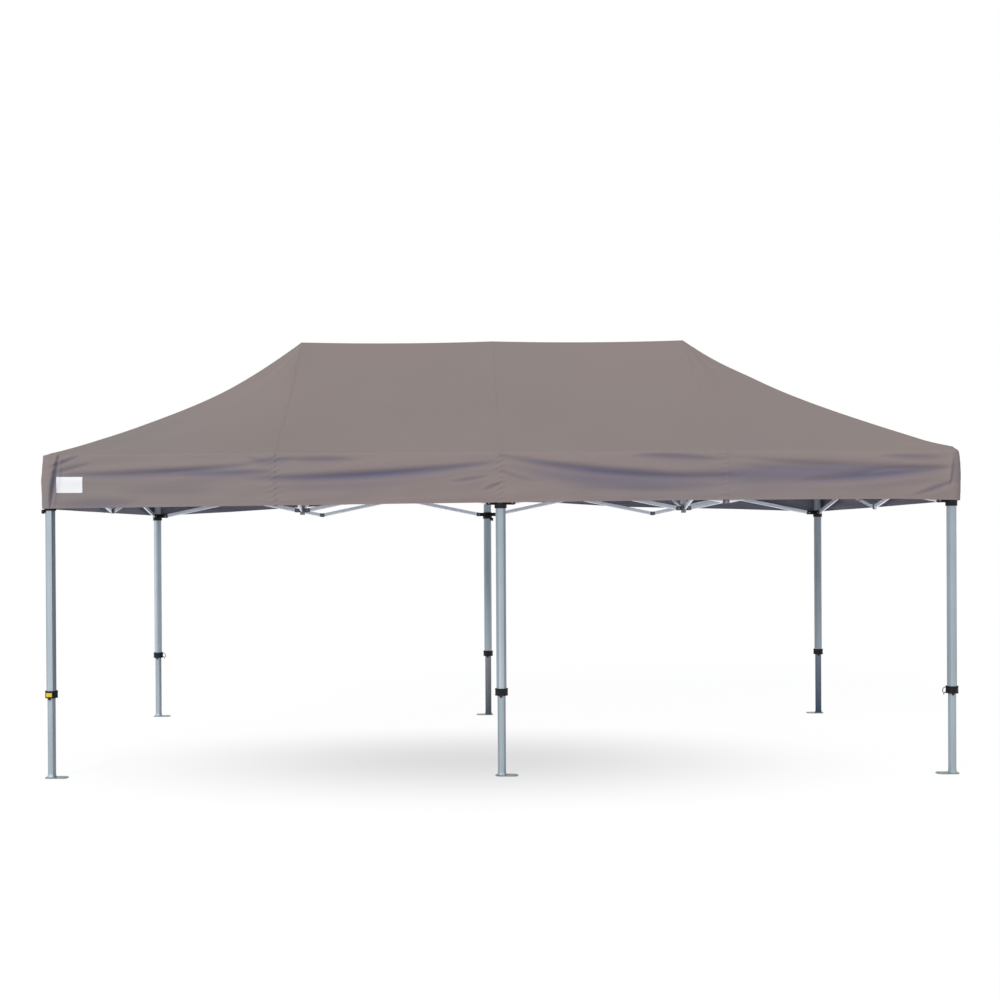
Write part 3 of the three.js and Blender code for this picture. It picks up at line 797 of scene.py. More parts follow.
class CanopySurface:
    """The whole sewn surface on a grid of columns round the tent and rows up to the ridge."""

    def __init__(self):
        settings = bpy.context.scene.marquee_canopy
        self.drop = settings.valance_drop
        self.eave = HEM_Z + self.drop
        self.lay_columns()
        self.lay_rows(settings)
        self.add_relief()

    def lay_columns(self):
        """Where each column meets the eave (plan), the sharp eave under it (base) and the ridge (top)."""
        rows = []
        for name, side in SIDES.items():
            end = side.half - CORNER_RADIUS
            places = [(-end, -45), (-end, -30), (-end, -15), *((place, 0) for place in column_places(side)),
                      (end, 15), (end, 30)]
            for place, degrees in places:
                turn = math.radians(degrees)
                out = side.out * math.cos(turn) + side.way * math.sin(turn)
                plan = side.out * (side.reach - CORNER_RADIUS) + side.way * place + out * CORNER_RADIUS
                sharp = math.copysign(side.half, place) if abs(place) > end - 1e-9 else place
                base = side.out * side.reach + side.way * sharp
                top = (max(-BAY, min(BAY, base.x)), 0)
                rows.append((name, degrees != 0, place + CORNER_RADIUS * turn, plan, out, base, top))
        self.side_of, self.in_corner, self.along, self.plan, self.out, self.base, self.top = (
            np.array(values) for values in zip(*rows))

    def hip_share(self):
        """1 on the hips, falling to 0 at the middle of each side of a panel."""
        half = np.array([SIDES[name].half for name in self.side_of])
        span = np.where(np.isin(self.side_of, LONG_SIDES), half - BAY, half)
        return smooth(1 - np.minimum(1, (half - np.abs(self.along)) / span))[:, None]

    def lay_rows(self, settings):
        """The smooth surface from the hem, over the rounded eave, to the ridge."""
        plan, base, top = self.plan, self.base, self.top
        end_share = (plan[:, :1] + HALF_LENGTH) / (2 * HALF_LENGTH)
        rear_share = (plan[:, 1:] + HALF_DEPTH) / (2 * HALF_DEPTH)
        dip = settings.left_dip * (1 - end_share) + settings.right_dip * end_share
        dip = dip * (0.5 + 0.5 * self.hip_share())
        run = np.where(np.isin(self.side_of, LONG_SIDES), HALF_DEPTH, HALF_LENGTH - BAY)[:, None]
        rise = RIDGE_Z - self.eave
        slope = np.arctan((rise - 4 * EAVE_DIP * dip) / run)
        radius = 0.013 + 0.020 * smooth(end_share)  # the eave is rounder towards the right
        rounding = radius * (1 - np.sin(slope))
        fallen = rounding / np.cos(slope)
        low = np.interp(plan[:, :1], *HEM_DROOP) * (1 - rear_share)
        low -= np.interp(plan[:, :1], *REAR_HITCH) * smooth(2 * rear_share - 1)
        rows = []  # points, how far they lie below the eave along the cloth, and 1 on the hem

        hem_share = 1 - HEM_HEIGHT / self.drop
        shares = [1.0, 1 - 0.4 * HEM_HEIGHT / self.drop, hem_share + 0.004, hem_share - 0.004]
        shares += [(hem_share - 0.012) * (1 - k / 30) for k in range(31)]
        for share in shares:
            below = fallen + (self.drop - fallen) * share
            z = self.eave - below - low * (below / self.drop) ** 1.5
            rows.append((np.hstack([plan, z]), below, share > hem_share))

        for k in range(1, EAVE_STEPS + 1):
            turn = (math.pi / 2 - slope) * k / EAVE_STEPS
            below = fallen - radius * np.sin(turn)
            flat = plan - self.out * radius * (1 - np.cos(turn))
            rows.append((np.hstack([flat, self.eave - below]), below, False))
        eave_row = len(rows) - 1
        self.band_row = {name: eave_row + (BAND_STEPS if name in LONG_SIDES else 0) for name in SIDES}

        first_share = rounding / run
        peak_gap = np.abs(top[:, :1]) / BAY
        sag = settings.ridge_sag * 4 * peak_gap * (1 - peak_gap)
        climbs = [k / BAND_STEPS * BAND_TOP for k in range(1, BAND_STEPS + 1)]
        climbs += [BAND_TOP + (1 - BAND_TOP) * k / ROOF_STEPS for k in range(1, ROOF_STEPS + 1)]
        for climb in climbs:
            share = first_share + (1 - first_share) * climb
            corner = 0.14 + 0.86 * (1 - smooth(share / 0.22))  # how rounded the corner still is
            flat = (base + (plan - base) * corner) * (1 - share) + top * share
            left = 0.83 + 0.17 * smooth((share - 0.35) / 0.4)
            right = 0.82 + 0.18 * smooth((share - 0.25) / 0.45) + 0.4 * smooth((share - 0.7) / 0.25)
            hollow = dip * (left * (1 - end_share) + right * end_share)
            z = self.eave + rise * share - hollow * 4 * share * (1 - share) - sag * share ** 3
            z += 0.011 * smooth((end_share - 0.9) / 0.1) * smooth(share / 0.02) * (1 - smooth(share / 0.12))
            if climb <= BAND_TOP:  # ease out of the rounded eave
                ease = smooth(climb / (0.5 * BAND_TOP))
                start = (rows[eave_row][0][:, :2] * (1 - share) + top * (share - first_share)) / (
                    1 - first_share)
                flat = start * (1 - ease) + flat * ease
            rows.append((np.hstack([flat, z]), -share * np.hypot(run, rise), False))
        self.grid = np.stack([row[0] for row in rows], axis=1)
        self.below = np.hstack([row[1] for row in rows])
        self.hem = np.array([row[2] for row in rows])

    def add_relief(self):
        """Push the surface out and in by its folds, ripples, seams and hem, and store the painted shade of
        its folds.
        """
        out = np.zeros(self.below.shape)
        self.crease = np.zeros(self.below.shape)
        row = np.arange(self.below.shape[1])
        ridge_fade = 1 - smooth((row - (row.size - 9)) / 8)
        for name, side in SIDES.items():
            chosen = self.side_of == name
            along = np.repeat(self.along[chosen][:, None], row.size, axis=1)
            moved, dark = relief(name, along, self.below[chosen])
            hip_fade = 0.2 + 0.8 * smooth((side.half - np.abs(along)) / 0.2)
            roof = self.below[chosen] < -0.03
            moved = moved * np.where(roof, ridge_fade * hip_fade, 1.0)
            for seam in side.seams:
                felled = np.abs(along - seam) <= 0.9 * SEAM_HALF
                moved += SEAM_RAISE * felled * ridge_fade * np.where(roof, 0.25, 1.0)
            out[chosen] = moved
            self.crease[chosen] = dark
        out += SEAM_RAISE * self.hem
        # even out the relief across the corners, where two sides meet
        for i in np.flatnonzero(self.in_corner):
            around = [(i + step) % len(out) for step in range(-3, 4)]
            out[i] = out[around].mean(axis=0)
            self.crease[i] = self.crease[around].mean(axis=0)
        self.grid = self.grid + self.normals_of(self.grid) * out[:, :, None]
        self.normals = self.normals_of(self.grid)
        self.into = self.normals.copy()
        self.into[:, -1] = (0, 0, 1)

    def columns_of(self, name):
        """Column numbers of a side in order, ending on the next side's first column."""
        chosen = np.flatnonzero(self.side_of == name).tolist()
        return chosen + [(chosen[-1] + 1) % len(self.side_of)]

    def seam_columns(self, name, columns):
        """Which of a side's columns lie on its seams."""
        return [int(np.argmin(np.abs(self.along[columns[:-1]] - seam))) for seam in SIDES[name].seams]

    @staticmethod
    def normals_of(grid):
        """Outward unit normals of the closed grid, from the neighbours of each point."""
        across = np.roll(grid, -1, axis=0) - np.roll(grid, 1, axis=0)
        up = np.zeros_like(grid)
        up[:, 1:-1] = grid[:, 2:] - grid[:, :-2]
        up[:, 0] = grid[:, 1] - grid[:, 0]
        normal = np.cross(across, up)
        length = np.linalg.norm(normal, axis=2, keepdims=True)
        normal = np.where(length < 1e-12, (0, 0, 1), normal / np.maximum(length, 1e-12))
        normal[:, -1] = normal[:, -2]
        return normal

    def raised(self, columns, rows, height):
        """Points at a height over the surface, at columns or rows of it."""
        return self.grid[columns, rows] + self.normals[columns, rows] * height

    def shell(self, name, columns, rows):
        """A closed piece of the fabric, from the given columns and rows of the surface."""
        where = np.ix_(columns, rows)
        outer = self.grid[where]
        inner = outer - self.into[where] * bpy.context.scene.marquee_canopy.fabric_thickness
        n, m = outer.shape[:2]
        points = np.concatenate([outer.reshape(-1, 3), inner.reshape(-1, 3)])
        normals = self.normals[where].reshape(-1, 3)
        normals = np.concatenate([normals, -normals])
        steps = np.linalg.norm(np.diff(outer[:, 0], axis=0), axis=1)
        u = self.along[columns[0]] + np.concatenate([[0], np.cumsum(steps)])
        u = np.repeat(u[:, None], m, axis=1)
        uvs = np.tile(np.stack([u, -self.below[where]], axis=2).reshape(-1, 2), (2, 1))
        # columns that run together at a peak share one vertex there
        _, first, index = np.unique(np.round(points, 6), axis=0, return_index=True, return_inverse=True)
        grid = np.arange(n * m).reshape(n, m)
        a, b, c, d = (g.ravel() for g in (grid[:-1, :-1], grid[1:, :-1], grid[1:, 1:], grid[:-1, 1:]))
        back = n * m
        edge = np.concatenate([grid[:, 0], grid[-1, 1:], grid[-2::-1, -1], grid[0, -2::-1]])
        p, q = edge[:-1], edge[1:]
        faces = np.concatenate([np.column_stack(corners) for corners in (
            (a, b, c, d), (a + back, d + back, c + back, b + back), (q, p, p + back, q + back))])
        polygons, loops, rim = [], [], []
        for number, (face, verts) in enumerate(zip(faces, index.ravel()[faces].tolist())):
            kept = [k for k in range(4) if verts[k] not in verts[:k]]
            if len(kept) > 2:  # at a peak a quad has come down to a triangle or an edge
                polygons.append([verts[k] for k in kept])
                loops.append(face[kept])
                rim += [number >= 2 * len(a)] * len(kept)
        loops = np.concatenate(loops)
        mesh = bpy.data.meshes.new(name)
        mesh.from_pydata(points[first].tolist(), [], polygons)
        mesh.uv_layers.new(name="UVMap").data.foreach_set("uv", uvs[loops].astype(np.float32).ravel())
        # painted shade of the folds on each point, for the cloth's material
        dark = np.tile(self.crease[where].reshape(-1), 2)[first]
        mesh.attributes.new("crease", "FLOAT", "POINT").data.foreach_set("value", dark.astype(np.float32))
        mesh.shade_smooth()
        face_normals = np.array([polygon.normal for polygon in mesh.polygons])
        face_normals = np.repeat(face_normals, [len(polygon) for polygon in polygons], axis=0)
        mesh.normals_split_custom_set(np.where(np.array(rim)[:, None], face_normals, normals[loops]).tolist())
        coated = [loops[polygon.loop_start] >= back for polygon in mesh.polygons]
        made = add_object(name, mesh, "fabric", "lining")
        mesh.polygons.foreach_set("material_index", np.array(coated, np.int32))
        return made


def hang(made, body, axis, anchor, keep, flat, area, held, rests_on, extras):
    """Move a piece of the canopy and the pieces on it with a body, each with its own mesh, and hide the
    frame's canopy.
    """
    for piece in (made, *extras):
        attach(piece, body)
        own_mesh(piece)
    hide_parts("canopy")


def seam_paths(surface, column, rows, side, insets=(-STITCH_INSET, STITCH_INSET)):
    line = surface.raised(column, rows, STITCH_LIFT)
    return [line + np.array([*side.way, 0]) * inset for inset in insets]


def build_band(surface, name, slope):
    """The valance of a side, cut in one with the foot of the roof above it on a long side."""
    side = SIDES[name]
    columns = surface.columns_of(name)
    rows = list(range(surface.band_row[name] + 1))
    band = surface.shell(name + "_valance", columns, rows)
    paths = []
    for number in surface.seam_columns(name, columns):
        paths += seam_paths(surface, columns[number], rows, side)
    hem_row = 2
    paths.append(surface.raised(columns, hem_row, HEM_STITCH_LIFT)[1:-1])
    extras = [stitching(name + "_valance_stitching", paths)]
    if name == "front":
        extras.append(blank_patch(surface, columns[:-1]))
    # how much of each band would be kept as its legs come together, so that the corners keep meeting; hang
    # takes this but doesn't use it
    inset = CORNER_RADIUS * (1 - math.sqrt(0.5))
    if name in LONG_SIDES:
        body, axis, anchor, reach = name + "_middle_leg", (1, 0, 0), (0, 0, 0), HALF_LENGTH - inset
        height = surface.drop + BAND_TOP * slope
    else:
        corner = HALF_DEPTH - inset
        body, axis, anchor, reach = f"rear_{name}_leg", (0, 1, 0), (0, corner, 0), 2 * corner
        height = surface.drop
    legs = sorted(leg + "_outer_leg" for leg in LEGS if name in leg.split("_"))
    keep, flat = 1 - LEG_TRAVEL / reach, (2 * side.half, height)
    hang(band, body, axis, anchor, keep, flat, None, "hung", legs, extras)


def build_panels(surface, name, slope):
    """The roof panels of a side, between its seams and the hips."""
    side = SIDES[name]
    columns = surface.columns_of(name)
    long_side = name in LONG_SIDES
    rows = list(range(surface.band_row[name], surface.grid.shape[1]))
    cuts = [-side.half, *side.seams, side.half]
    splits = [0, *surface.seam_columns(name, columns), len(columns) - 1]
    count = len(cuts) - 1
    share = BAND_TOP if long_side else 0
    upper = slope * (1 - share)
    for k in range(count):
        piece = f"{name}_roof_panel_{k + 1}"
        chosen = columns[splits[k]:splits[k + 1] + 1]
        panel = surface.shell(piece, chosen, rows)
        base = side.out * side.reach + side.way * (cuts[k] + cuts[k + 1]) / 2
        # truss units are numbered from the left end, and from the front
        if long_side:
            unit = k + 1 if name == "front" else count - k
            bar = f"{unit}_falling" if unit < 3 else f"{unit}_rising"
            up = Vector((*(-side.out * HALF_DEPTH), RIDGE_Z - surface.eave))
            # where the slack would gather under the bands, the left and the right in two layers; hang takes
            # this but doesn't use it
            slack, keep = -0.215 if base.x < 0 else -0.165, 0.05
        else:
            bar = "1_falling" if base.y < 0 else "2_rising"
            up = Vector((*(-side.out * (HALF_LENGTH - BAY)), RIDGE_Z - surface.eave))
            up.y -= math.copysign(HALF_DEPTH / 2, base.y)
            slack, keep = 0.10, 0.13
        anchor = Vector((*base, surface.eave)) + up * share + up.normalized() * slack
        first, last = k == 0, k == count - 1
        wide, area = cuts[k + 1] - cuts[k], None
        if first or last:
            wide *= 1 - share
            area = 0.5 * wide * upper
        paths = []
        if not first:
            paths += seam_paths(surface, chosen[0], rows[:-2], side, (STITCH_INSET,))
        if not last:
            paths += seam_paths(surface, chosen[-1], rows[:-2], side, (-STITCH_INSET,))
        if first or last:
            paths.append(surface.raised(chosen[-3] if last else chosen[3], rows[:-2], STITCH_LIFT))
        hang(panel, f"{name}_bar_{bar}", up.normalized(), anchor, keep, (wide, upper), area, "stretched",
             ["left_peak_pole" if base.x < 0 else "right_peak_pole"],
             [stitching(piece + "_stitching", paths)])


def blank_patch(surface, columns):
    """A plain white patch sewn to the left end of the front valance."""
    settings = bpy.context.scene.marquee_canopy
    left, top = -2.892, surface.eave - 0.146
    across, down = 16, 10
    xs = left + settings.label_width * np.arange(across + 1) / across
    shape = bmesh.new()
    layers = []
    for lift in (0.0020, 0.0006):
        layer = []
        for z in top - settings.label_height * np.arange(down + 1) / down:
            ys = [np.interp(z, surface.grid[c, :30, 2], surface.grid[c, :30, 1]) for c in columns]
            ys = np.interp(xs, surface.along[columns], ys) - lift
            layer.append([shape.verts.new((x, y, z)) for x, y in zip(xs, ys)])
        layers.append(layer)
        for above, under in zip(layer, layer[1:]):
            for i in range(across):
                shape.faces.new((above[i], under[i], under[i + 1], above[i + 1]))
    rims = [[*layer[0], *(row[-1] for row in layer[1:-1]), *layer[-1][::-1],
             *(row[0] for row in layer[-2:0:-1])] for layer in layers]
    for i in range(len(rims[0])):
        shape.faces.new((rims[0][i - 1], rims[0][i], rims[1][i], rims[1][i - 1]))
    return from_bmesh("blank_valance_patch", shape, "patch")


def build_canopy():
    surface = CanopySurface()
    rise = RIDGE_Z - surface.eave
    for name in SIDES:
        slope = math.hypot(HALF_DEPTH if name in LONG_SIDES else HALF_LENGTH - BAY, rise)
        build_band(surface, name, slope)
        build_panels(surface, name, slope)


# ---------------------------------------------------------------- legs
# painted light on the rear left and rear middle upper tubes, as lighter copies of the leg finish; painted
# shade on the rear middle and rear right lower tubes, darker and bluer towards the ground
LEG_FINISHES = {  # of the upper and the lower tube, where they differ from the other legs'
    "rear_left": ("pale_leg", "inner_leg"),
    "rear_middle": ("worn_leg", "dull_leg"),
    "rear_right": ("leg", "blue_leg"),
}
HEAD_HEIGHT, HEAD_RADIUS = 0.062, 0.0376  # of the cast head, without its brackets
HEAD_SINK, HEAD_SHRINK = 0.014, 0.93  # how it draws in to clear the cloth
COLLAR_HEIGHT = 0.046
INNER_FLATS, INNER_WALL = 0.0475, 0.0018


def outward(leg):
    """Away from the middle of the tent along the length, or towards +X for a middle leg."""
    return math.copysign(1, LEGS[leg].x)


def upper_tube(leg, finish):
    """The outer hexagonal tube, its cast head drawn in to clear the cloth."""
    node = leg + "_outer_leg"
    place = LEGS[leg].xy
    low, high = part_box(node)
    head_low = high.z - HEAD_HEIGHT

    def material_of(centre):
        if centre.z > head_low + 0.0005:
            return 1
        return 2 if centre.z < low.z + COLLAR_HEIGHT + 0.0015 else 0

    tube = refined(node, leg + "_upper_tube", finish, "cast", "nylon", choose=material_of)
    for vertex in tube.data.vertices:
        aside = vertex.co.xy - place
        if vertex.co.z > high.z - 0.004:
            vertex.co.z -= HEAD_SINK
        if vertex.co.z > head_low and aside.length < HEAD_RADIUS:
            vertex.co.xy = place + aside * HEAD_SHRINK
    return tube


def collar(leg, base):
    """A moulded sleeve with rounded corners, a lip at each end, a tab and a round catch."""
    place = LEGS[leg]
    low, high = base - 0.0005, base + COLLAR_HEIGHT + 0.0005
    body, lip = rounded(hexagon(0.074), 0.007), rounded(hexagon(0.076), 0.008)
    parts = []
    for outline, z0, z1 in ((body, low + 0.003, high - 0.003), (lip, high - 0.009, high),
                            (lip, low, low + 0.006)):
        ring = pipe(outline, [(x * 0.83, y * 0.83) for x, y in outline], z0, z1)
        bevel_edges(ring, 0.0015, angle=50)
        ring.transform(Matrix.Translation(place))
        parts.append(ring)
    if leg != "front_left":
        catch = facing(place + Vector((0, -0.036, base + 0.024)), "Y", -1)
        parts.append(turned_disc(0.0065, 0, 0.004, catch, bevel=0.0012))
    parts.append(rounded_block((0.013, 0.008, 0.016), place + Vector((-0.006, -0.033, base - 0.004))))
    return from_bmesh(leg + "_collar", joined(*parts), "nylon", smooth_angle=40)


def build_collar_pull(leg, base):
    """A strap loop on two collars, and a plain patch on the front left one."""
    place, body = LEGS[leg], leg + "_leg"
    if leg in ("front_right", "rear_left"):
        way = -outward(leg)
        start = place + Vector((way * 0.036, -0.014, base + 0.034))
        loop = [start + Vector((way * x, y, z)) for x, y, z in (
            (0, 0, 0), (0.014, 0, 0.006), (0.026, -0.002, 0.001), (0.032, -0.003, -0.012),
            (0.030, -0.003, -0.026), (0.020, -0.002, -0.030), (0.008, 0, -0.022), (0, 0, -0.018))]
        pull = from_bmesh(leg + "_collar_pull", swept(eased(loop, 5), 0.0026), "nylon")
        settle(pull, body)
        end = loop[5]
        tip = swept([end, end + Vector((way * 0.004, 0, -0.007)), end + Vector((way * 0.005, 0, -0.015))],
                    0.0028)
        settle(from_bmesh(leg + "_pull_tip", tip, "pull"), body)
    if leg == "front_left":
        patch = rounded_block((0.038, 0.0012, 0.026), place + Vector((-0.004, -0.0386, base + 0.021)), 0.0004)
        settle(from_bmesh("front_left_collar_patch", patch, "yellow"), body)


def lower_tube(leg, finish):
    """The inner hexagonal tube, with its row of height holes down the back."""
    tube = pipe(rounded(hexagon(INNER_FLATS), 0.004),
                rounded(hexagon(INNER_FLATS - 2 * INNER_WALL), 0.0025),
                0.004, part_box(leg + "_inner_leg")[1].z)
    holes = [facing((0, INNER_FLATS / 2 - 0.0006, 0.19 + 0.075 * k), "Y", 1) for k in range(5)]
    shape = joined(tube, *(turned_disc(0.0055, 0, 0.0009, hole, 16, 0.0003) for hole in holes))
    shape.transform(Matrix.Translation(LEGS[leg]))
    return from_bmesh(leg + "_lower_tube", shape, finish, smooth_angle=40)


def foot_plate(leg):
    """The round-ended steel plate with its square peg hole."""
    low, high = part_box(leg + "_inner_leg")
    centre = Vector(((low.x + high.x) / 2, (low.y + high.y) / 2, 0))
    length, width = high.x - low.x, high.y - low.y
    outline = rounded(box_outline(length, width), 0.036, 9)
    peg = Vector((math.copysign(length / 2 - 0.020, centre.x - LEGS[leg].x), 0))
    spokes = [Vector(point) - peg for point in outline]
    hole = [tuple(peg + spoke * (0.007 / max(abs(spoke.x), abs(spoke.y)))) for spoke in spokes]
    shape = pipe(outline, hole, 0.0, 0.006)
    shape.transform(Matrix.Translation(centre))
    bevel_edges(shape, 0.0009, angle=50)
    return from_bmesh(leg + "_foot_plate", shape, "zinc", smooth_angle=40)


def foot_flare(leg, finish):
    """The welded skirt that spreads from the inner leg on to its foot plate."""
    profile = ((0.0476, 0.030), (0.0492, 0.020), (0.0530, 0.012), (0.0600, 0.006), (0.0680, 0.005))
    rings = [[LEGS[leg] + Vector((x, y, z)) for x, y in rounded(hexagon(flats), flats * 0.08)]
             for flats, z in profile]
    return from_bmesh(leg + "_foot_weld", skinned(rings), finish, smooth_angle=60)


def build_slider(leg):
    """The nylon slider with its pull knob."""
    node = leg + "_slider"
    base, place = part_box(node)[0].z - 0.006, LEGS[leg]
    settle(refined(node, leg + "_slider_block", "nylon", bevel=0.0012), BODY_OF[node], node)
    if leg in ("front_left", "rear_middle"):
        way = outward(leg)
        turn = facing(place + Vector((way * 0.030, -0.008, base)), "X", way)
    else:
        turn = facing(place + Vector((0, 0.028, base)), "Y", 1)
    knob = joined(turned_disc(0.006, 0, 0.012, turn, 16), turned_disc(0.0138, 0.006, 0.021, turn, 28, 0.004))
    settle(from_bmesh(leg + "_slider_knob", knob, "nylon", smooth_angle=40), BODY_OF[node])


def build_legs():
    for leg in LEGS:
        body, outer, inner = (leg + part for part in ("_leg", "_outer_leg", "_inner_leg"))
        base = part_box(outer)[0].z
        upper_finish, lower_finish = LEG_FINISHES.get(leg, ("leg", "inner_leg"))
        settle(upper_tube(leg, upper_finish), body, outer)
        settle(collar(leg, base), body)
        build_collar_pull(leg, base)
        settle(lower_tube(leg, lower_finish), BODY_OF[inner], inner)
        settle(foot_plate(leg), BODY_OF[inner])
        settle(foot_flare(leg, lower_finish), BODY_OF[inner])
        build_slider(leg)


# ---------------------------------------------------------------- truss
BARS = [node for node in frame["nodes"] if "_bar_" in node or node.endswith("_arm")]
CONNECTORS = [node for node in frame["nodes"] if node.endswith("_connector")]
BAR_WIDTH = 0.032
DOUBLE_REACH, SINGLE_REACH = 0.0114, 0.0072  # from a bar's middle to its bolts' washers
LEG_REACH = 0.09  # how near a leg a bar's end is when the leg's joint holds it


def bar_axes(node):
    """Centre, length direction and layer direction of a bar, and its pivot span."""
    points = np.array([vertex.co for vertex in frame["nodes"][node].data.vertices])
    low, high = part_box(node)
    flat, thick = (0, 1) if high.x - low.x > high.y - low.y else (1, 0)
    line = points[:, [flat, 2]]
    least, most = line.min(axis=0), line.max(axis=0)
    spread = line - (most + least) / 2
    rising = (spread[:, 0] * spread[:, 1]).sum() > 0
    span = most - least - BAR_WIDTH
    # pins reach past one face of a bar, so its ends alone give its layer
    ends = points[np.abs(spread[:, 0]) > spread[:, 0].max() - 0.012, thick]
    centre, way, layer = Vector(), Vector(), Vector()
    way[flat], way.z = span[0], span[1] if rising else -span[1]
    centre[flat], centre.z = (most + least) / 2
    centre[thick] = (ends.max() + ends.min()) / 2
    layer[thick] = 1
    return centre, way.normalized(), layer, way.length


def bar_frame(centre, way, layer):
    """Local X along the bar, Y through its thickness, Z across its height."""
    up = way.cross(layer)
    if up.z < 0:
        up = -up
    return Matrix.Translation(centre) @ Matrix((way, up.cross(way), up)).transposed().to_4x4()


def bar_body(length, place):
    """An extruded bar between its end pivots: rounded corners, and two channels down each side."""
    t, h, g = 0.0069, 0.0158, 0.0009  # half thickness, half height and the depth of a channel
    side = [(t, -h + 0.0016), (t, -0.0085), (t - g, -0.0080), (t - g, -0.0042), (t, -0.0037),
            (t, 0.0037), (t - g, 0.0042), (t - g, 0.0080), (t, 0.0085), (t, h - 0.0016),
            (t - 0.0005, h - 0.0005), (t - 0.0016, h)]
    turn = Matrix(((0, 0, 1, 0), (1, 0, 0, 0), (0, 1, 0, 0), (0, 0, 0, 1)))
    return extruded(side + [(-x, -y) for x, y in side], -length / 2 + 0.002, length / 2 - 0.002, place @ turn)


def bar_ends(length, place):
    """The moulded plugs that close a bar and carry its end pivots."""
    radius, half_thickness, steps = 0.0160, 0.00715, 14
    turn = Matrix(((1, 0, 0, 0), (0, 0, 1, 0), (0, 1, 0, 0), (0, 0, 0, 1)))
    arc = [(radius * math.cos(a), radius * math.sin(a))
           for a in (math.pi * (k / steps - 0.5) for k in range(steps + 1))]
    plugs = []
    for way in (-1, 1):
        outline = [(way * (length / 2 + x), y) for x, y in ((-0.020, -radius), *arc, (-0.020, radius))]
        plug = extruded(outline[::way], -half_thickness, half_thickness)
        bevel_edges(plug, 0.0008, angle=50)
        plug.transform(place @ turn)
        plugs.append(plug)
    return joined(*plugs)


def by_a_leg(point):
    return any((point.xy - leg.xy).length < LEG_REACH for leg in LEGS.values())


def build_truss():
    for node in BARS:
        body = BODY_OF[node]
        centre, way, layer, length = bar_axes(node)
        place = bar_frame(centre, way, layer)
        finish = "bar_x" if abs(way.x) > abs(way.y) else "bar_y"
        tube = from_bmesh(node + "_extrusion", bar_body(length, place), finish)
        settle(tube, body, node)
        plugs = from_bmesh(node + "_end_plugs", bar_ends(length, place), "plug", smooth_angle=40)
        settle(plugs, body)
        # an arm, and a bar at a leg, is bolted on both faces; the rest are bolted on their outer face
        arm = node.endswith("_arm")
        depth, plane = (centre.y, BAY) if layer.y else (centre.x, 2 * BAY)
        outer = math.copysign(1, depth - math.copysign(plane, depth))
        places = []
        for end in (-1, 1) if arm else (-1, 0, 1):
            point = centre + way * (end * length / 2)
            both = end and (arm or by_a_leg(point))
            for face in (-1, 1) if both else (outer,):
                places.append((point + layer * face * (DOUBLE_REACH if both else SINGLE_REACH), layer * face))
        settle(bolts(node + "_pivots", places), body)
    for node in CONNECTORS:
        settle(refined(node, node + "_block", "plug", bevel=0.0009), BODY_OF[node], node)


# ---------------------------------------------------------------- centre poles
HUB_HEIGHT = 0.054
POLE_RADIUS = 0.0192


def build_poles():
    for node in ("left_peak_pole", "right_peak_pole"):
        low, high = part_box(node)
        axis = Vector((middle(node).x, 0, 0))
        hub_top = low.z + HUB_HEIGHT

        def hub_or_tube(centre, axis=axis, hub_top=hub_top):
            return 1 if (centre.xy - axis.xy).length > POLE_RADIUS and centre.z < hub_top + 0.01 else 0

        pole = refined(node, node + "_tube", "leg", "plug", choose=hub_or_tube)
        settle(pole, node, node)
        outline = rounded(box_outline(0.044, 0.044), 0.004)
        sleeve = pipe(outline, [(x * 0.87, y * 0.87) for x, y in outline], hub_top + 0.012, hub_top + 0.058)
        sleeve.transform(Matrix.Translation(axis))
        settle(from_bmesh(node + "_square_sleeve", sleeve, "cast"), node)
        profile = ((0.0215, -0.050), (0.0215, -0.0185), (0.018, -0.0145), (0.010, -0.0065), (0.0072, -0.0012))
        rings = [[axis + Vector((x, y, high.z + z)) for x, y in circle(radius, 28)] for radius, z in profile]
        settle(from_bmesh(node + "_cap", skinned(rings), "nylon", smooth_angle=50), node)


# ---------------------------------------------------------------- stage
KEY_STRENGTH = 2.01
KEY_AZIMUTH, KEY_ELEVATION, KEY_WIDTH = 28, 21, 28  # degrees
SKY_LEVEL = 0.40
BOUNCE_COLOUR = (0.70, 0.70, 0.74)
SHADOW_OFFSET = (0.20, 0.9)
SHADOW_SHADE = 0.72  # where the ground shadow is darkest
FLOOR_REACH = 60
FLOOR_ALBEDO = 0.10
FLOOR_SHARE = 0.055  # of the floor's white that is left to the lamp
LENS_SHIFT = (0.05015, 0.05291)


def by_ray(tree, lighting, seen):
    """One shader to light the scene, another for rays from the camera and for mirror and glass rays."""
    path = add_node(tree, "ShaderNodeLightPath")
    share, *others = (path.outputs[f"Is {kind} Ray"] for kind in ("Camera", "Glossy", "Transmission"))
    for other in others:
        share = add_node(tree, "ShaderNodeMath", {0: share, 1: other}, operation="MAXIMUM").outputs["Value"]
    return add_node(tree, "ShaderNodeMixShader", {"Fac": share, 1: lighting, 2: seen}).outputs["Shader"]


def soft_daylight():
    world = bpy.data.worlds.new("soft_daylight")
    world.use_nodes = True
    tree = world.node_tree
    tree.nodes.clear()
    sky, white = (add_node(tree, "ShaderNodeBackground", {"Color": colour, "Strength": strength}).outputs[0]
                  for colour, strength in (((0.90, 0.96, 1.0, 1), SKY_LEVEL), ((1, 1, 1, 1), 1.0)))
    add_node(tree, "ShaderNodeOutputWorld", {"Surface": by_ray(tree, sky, white)})
    return world


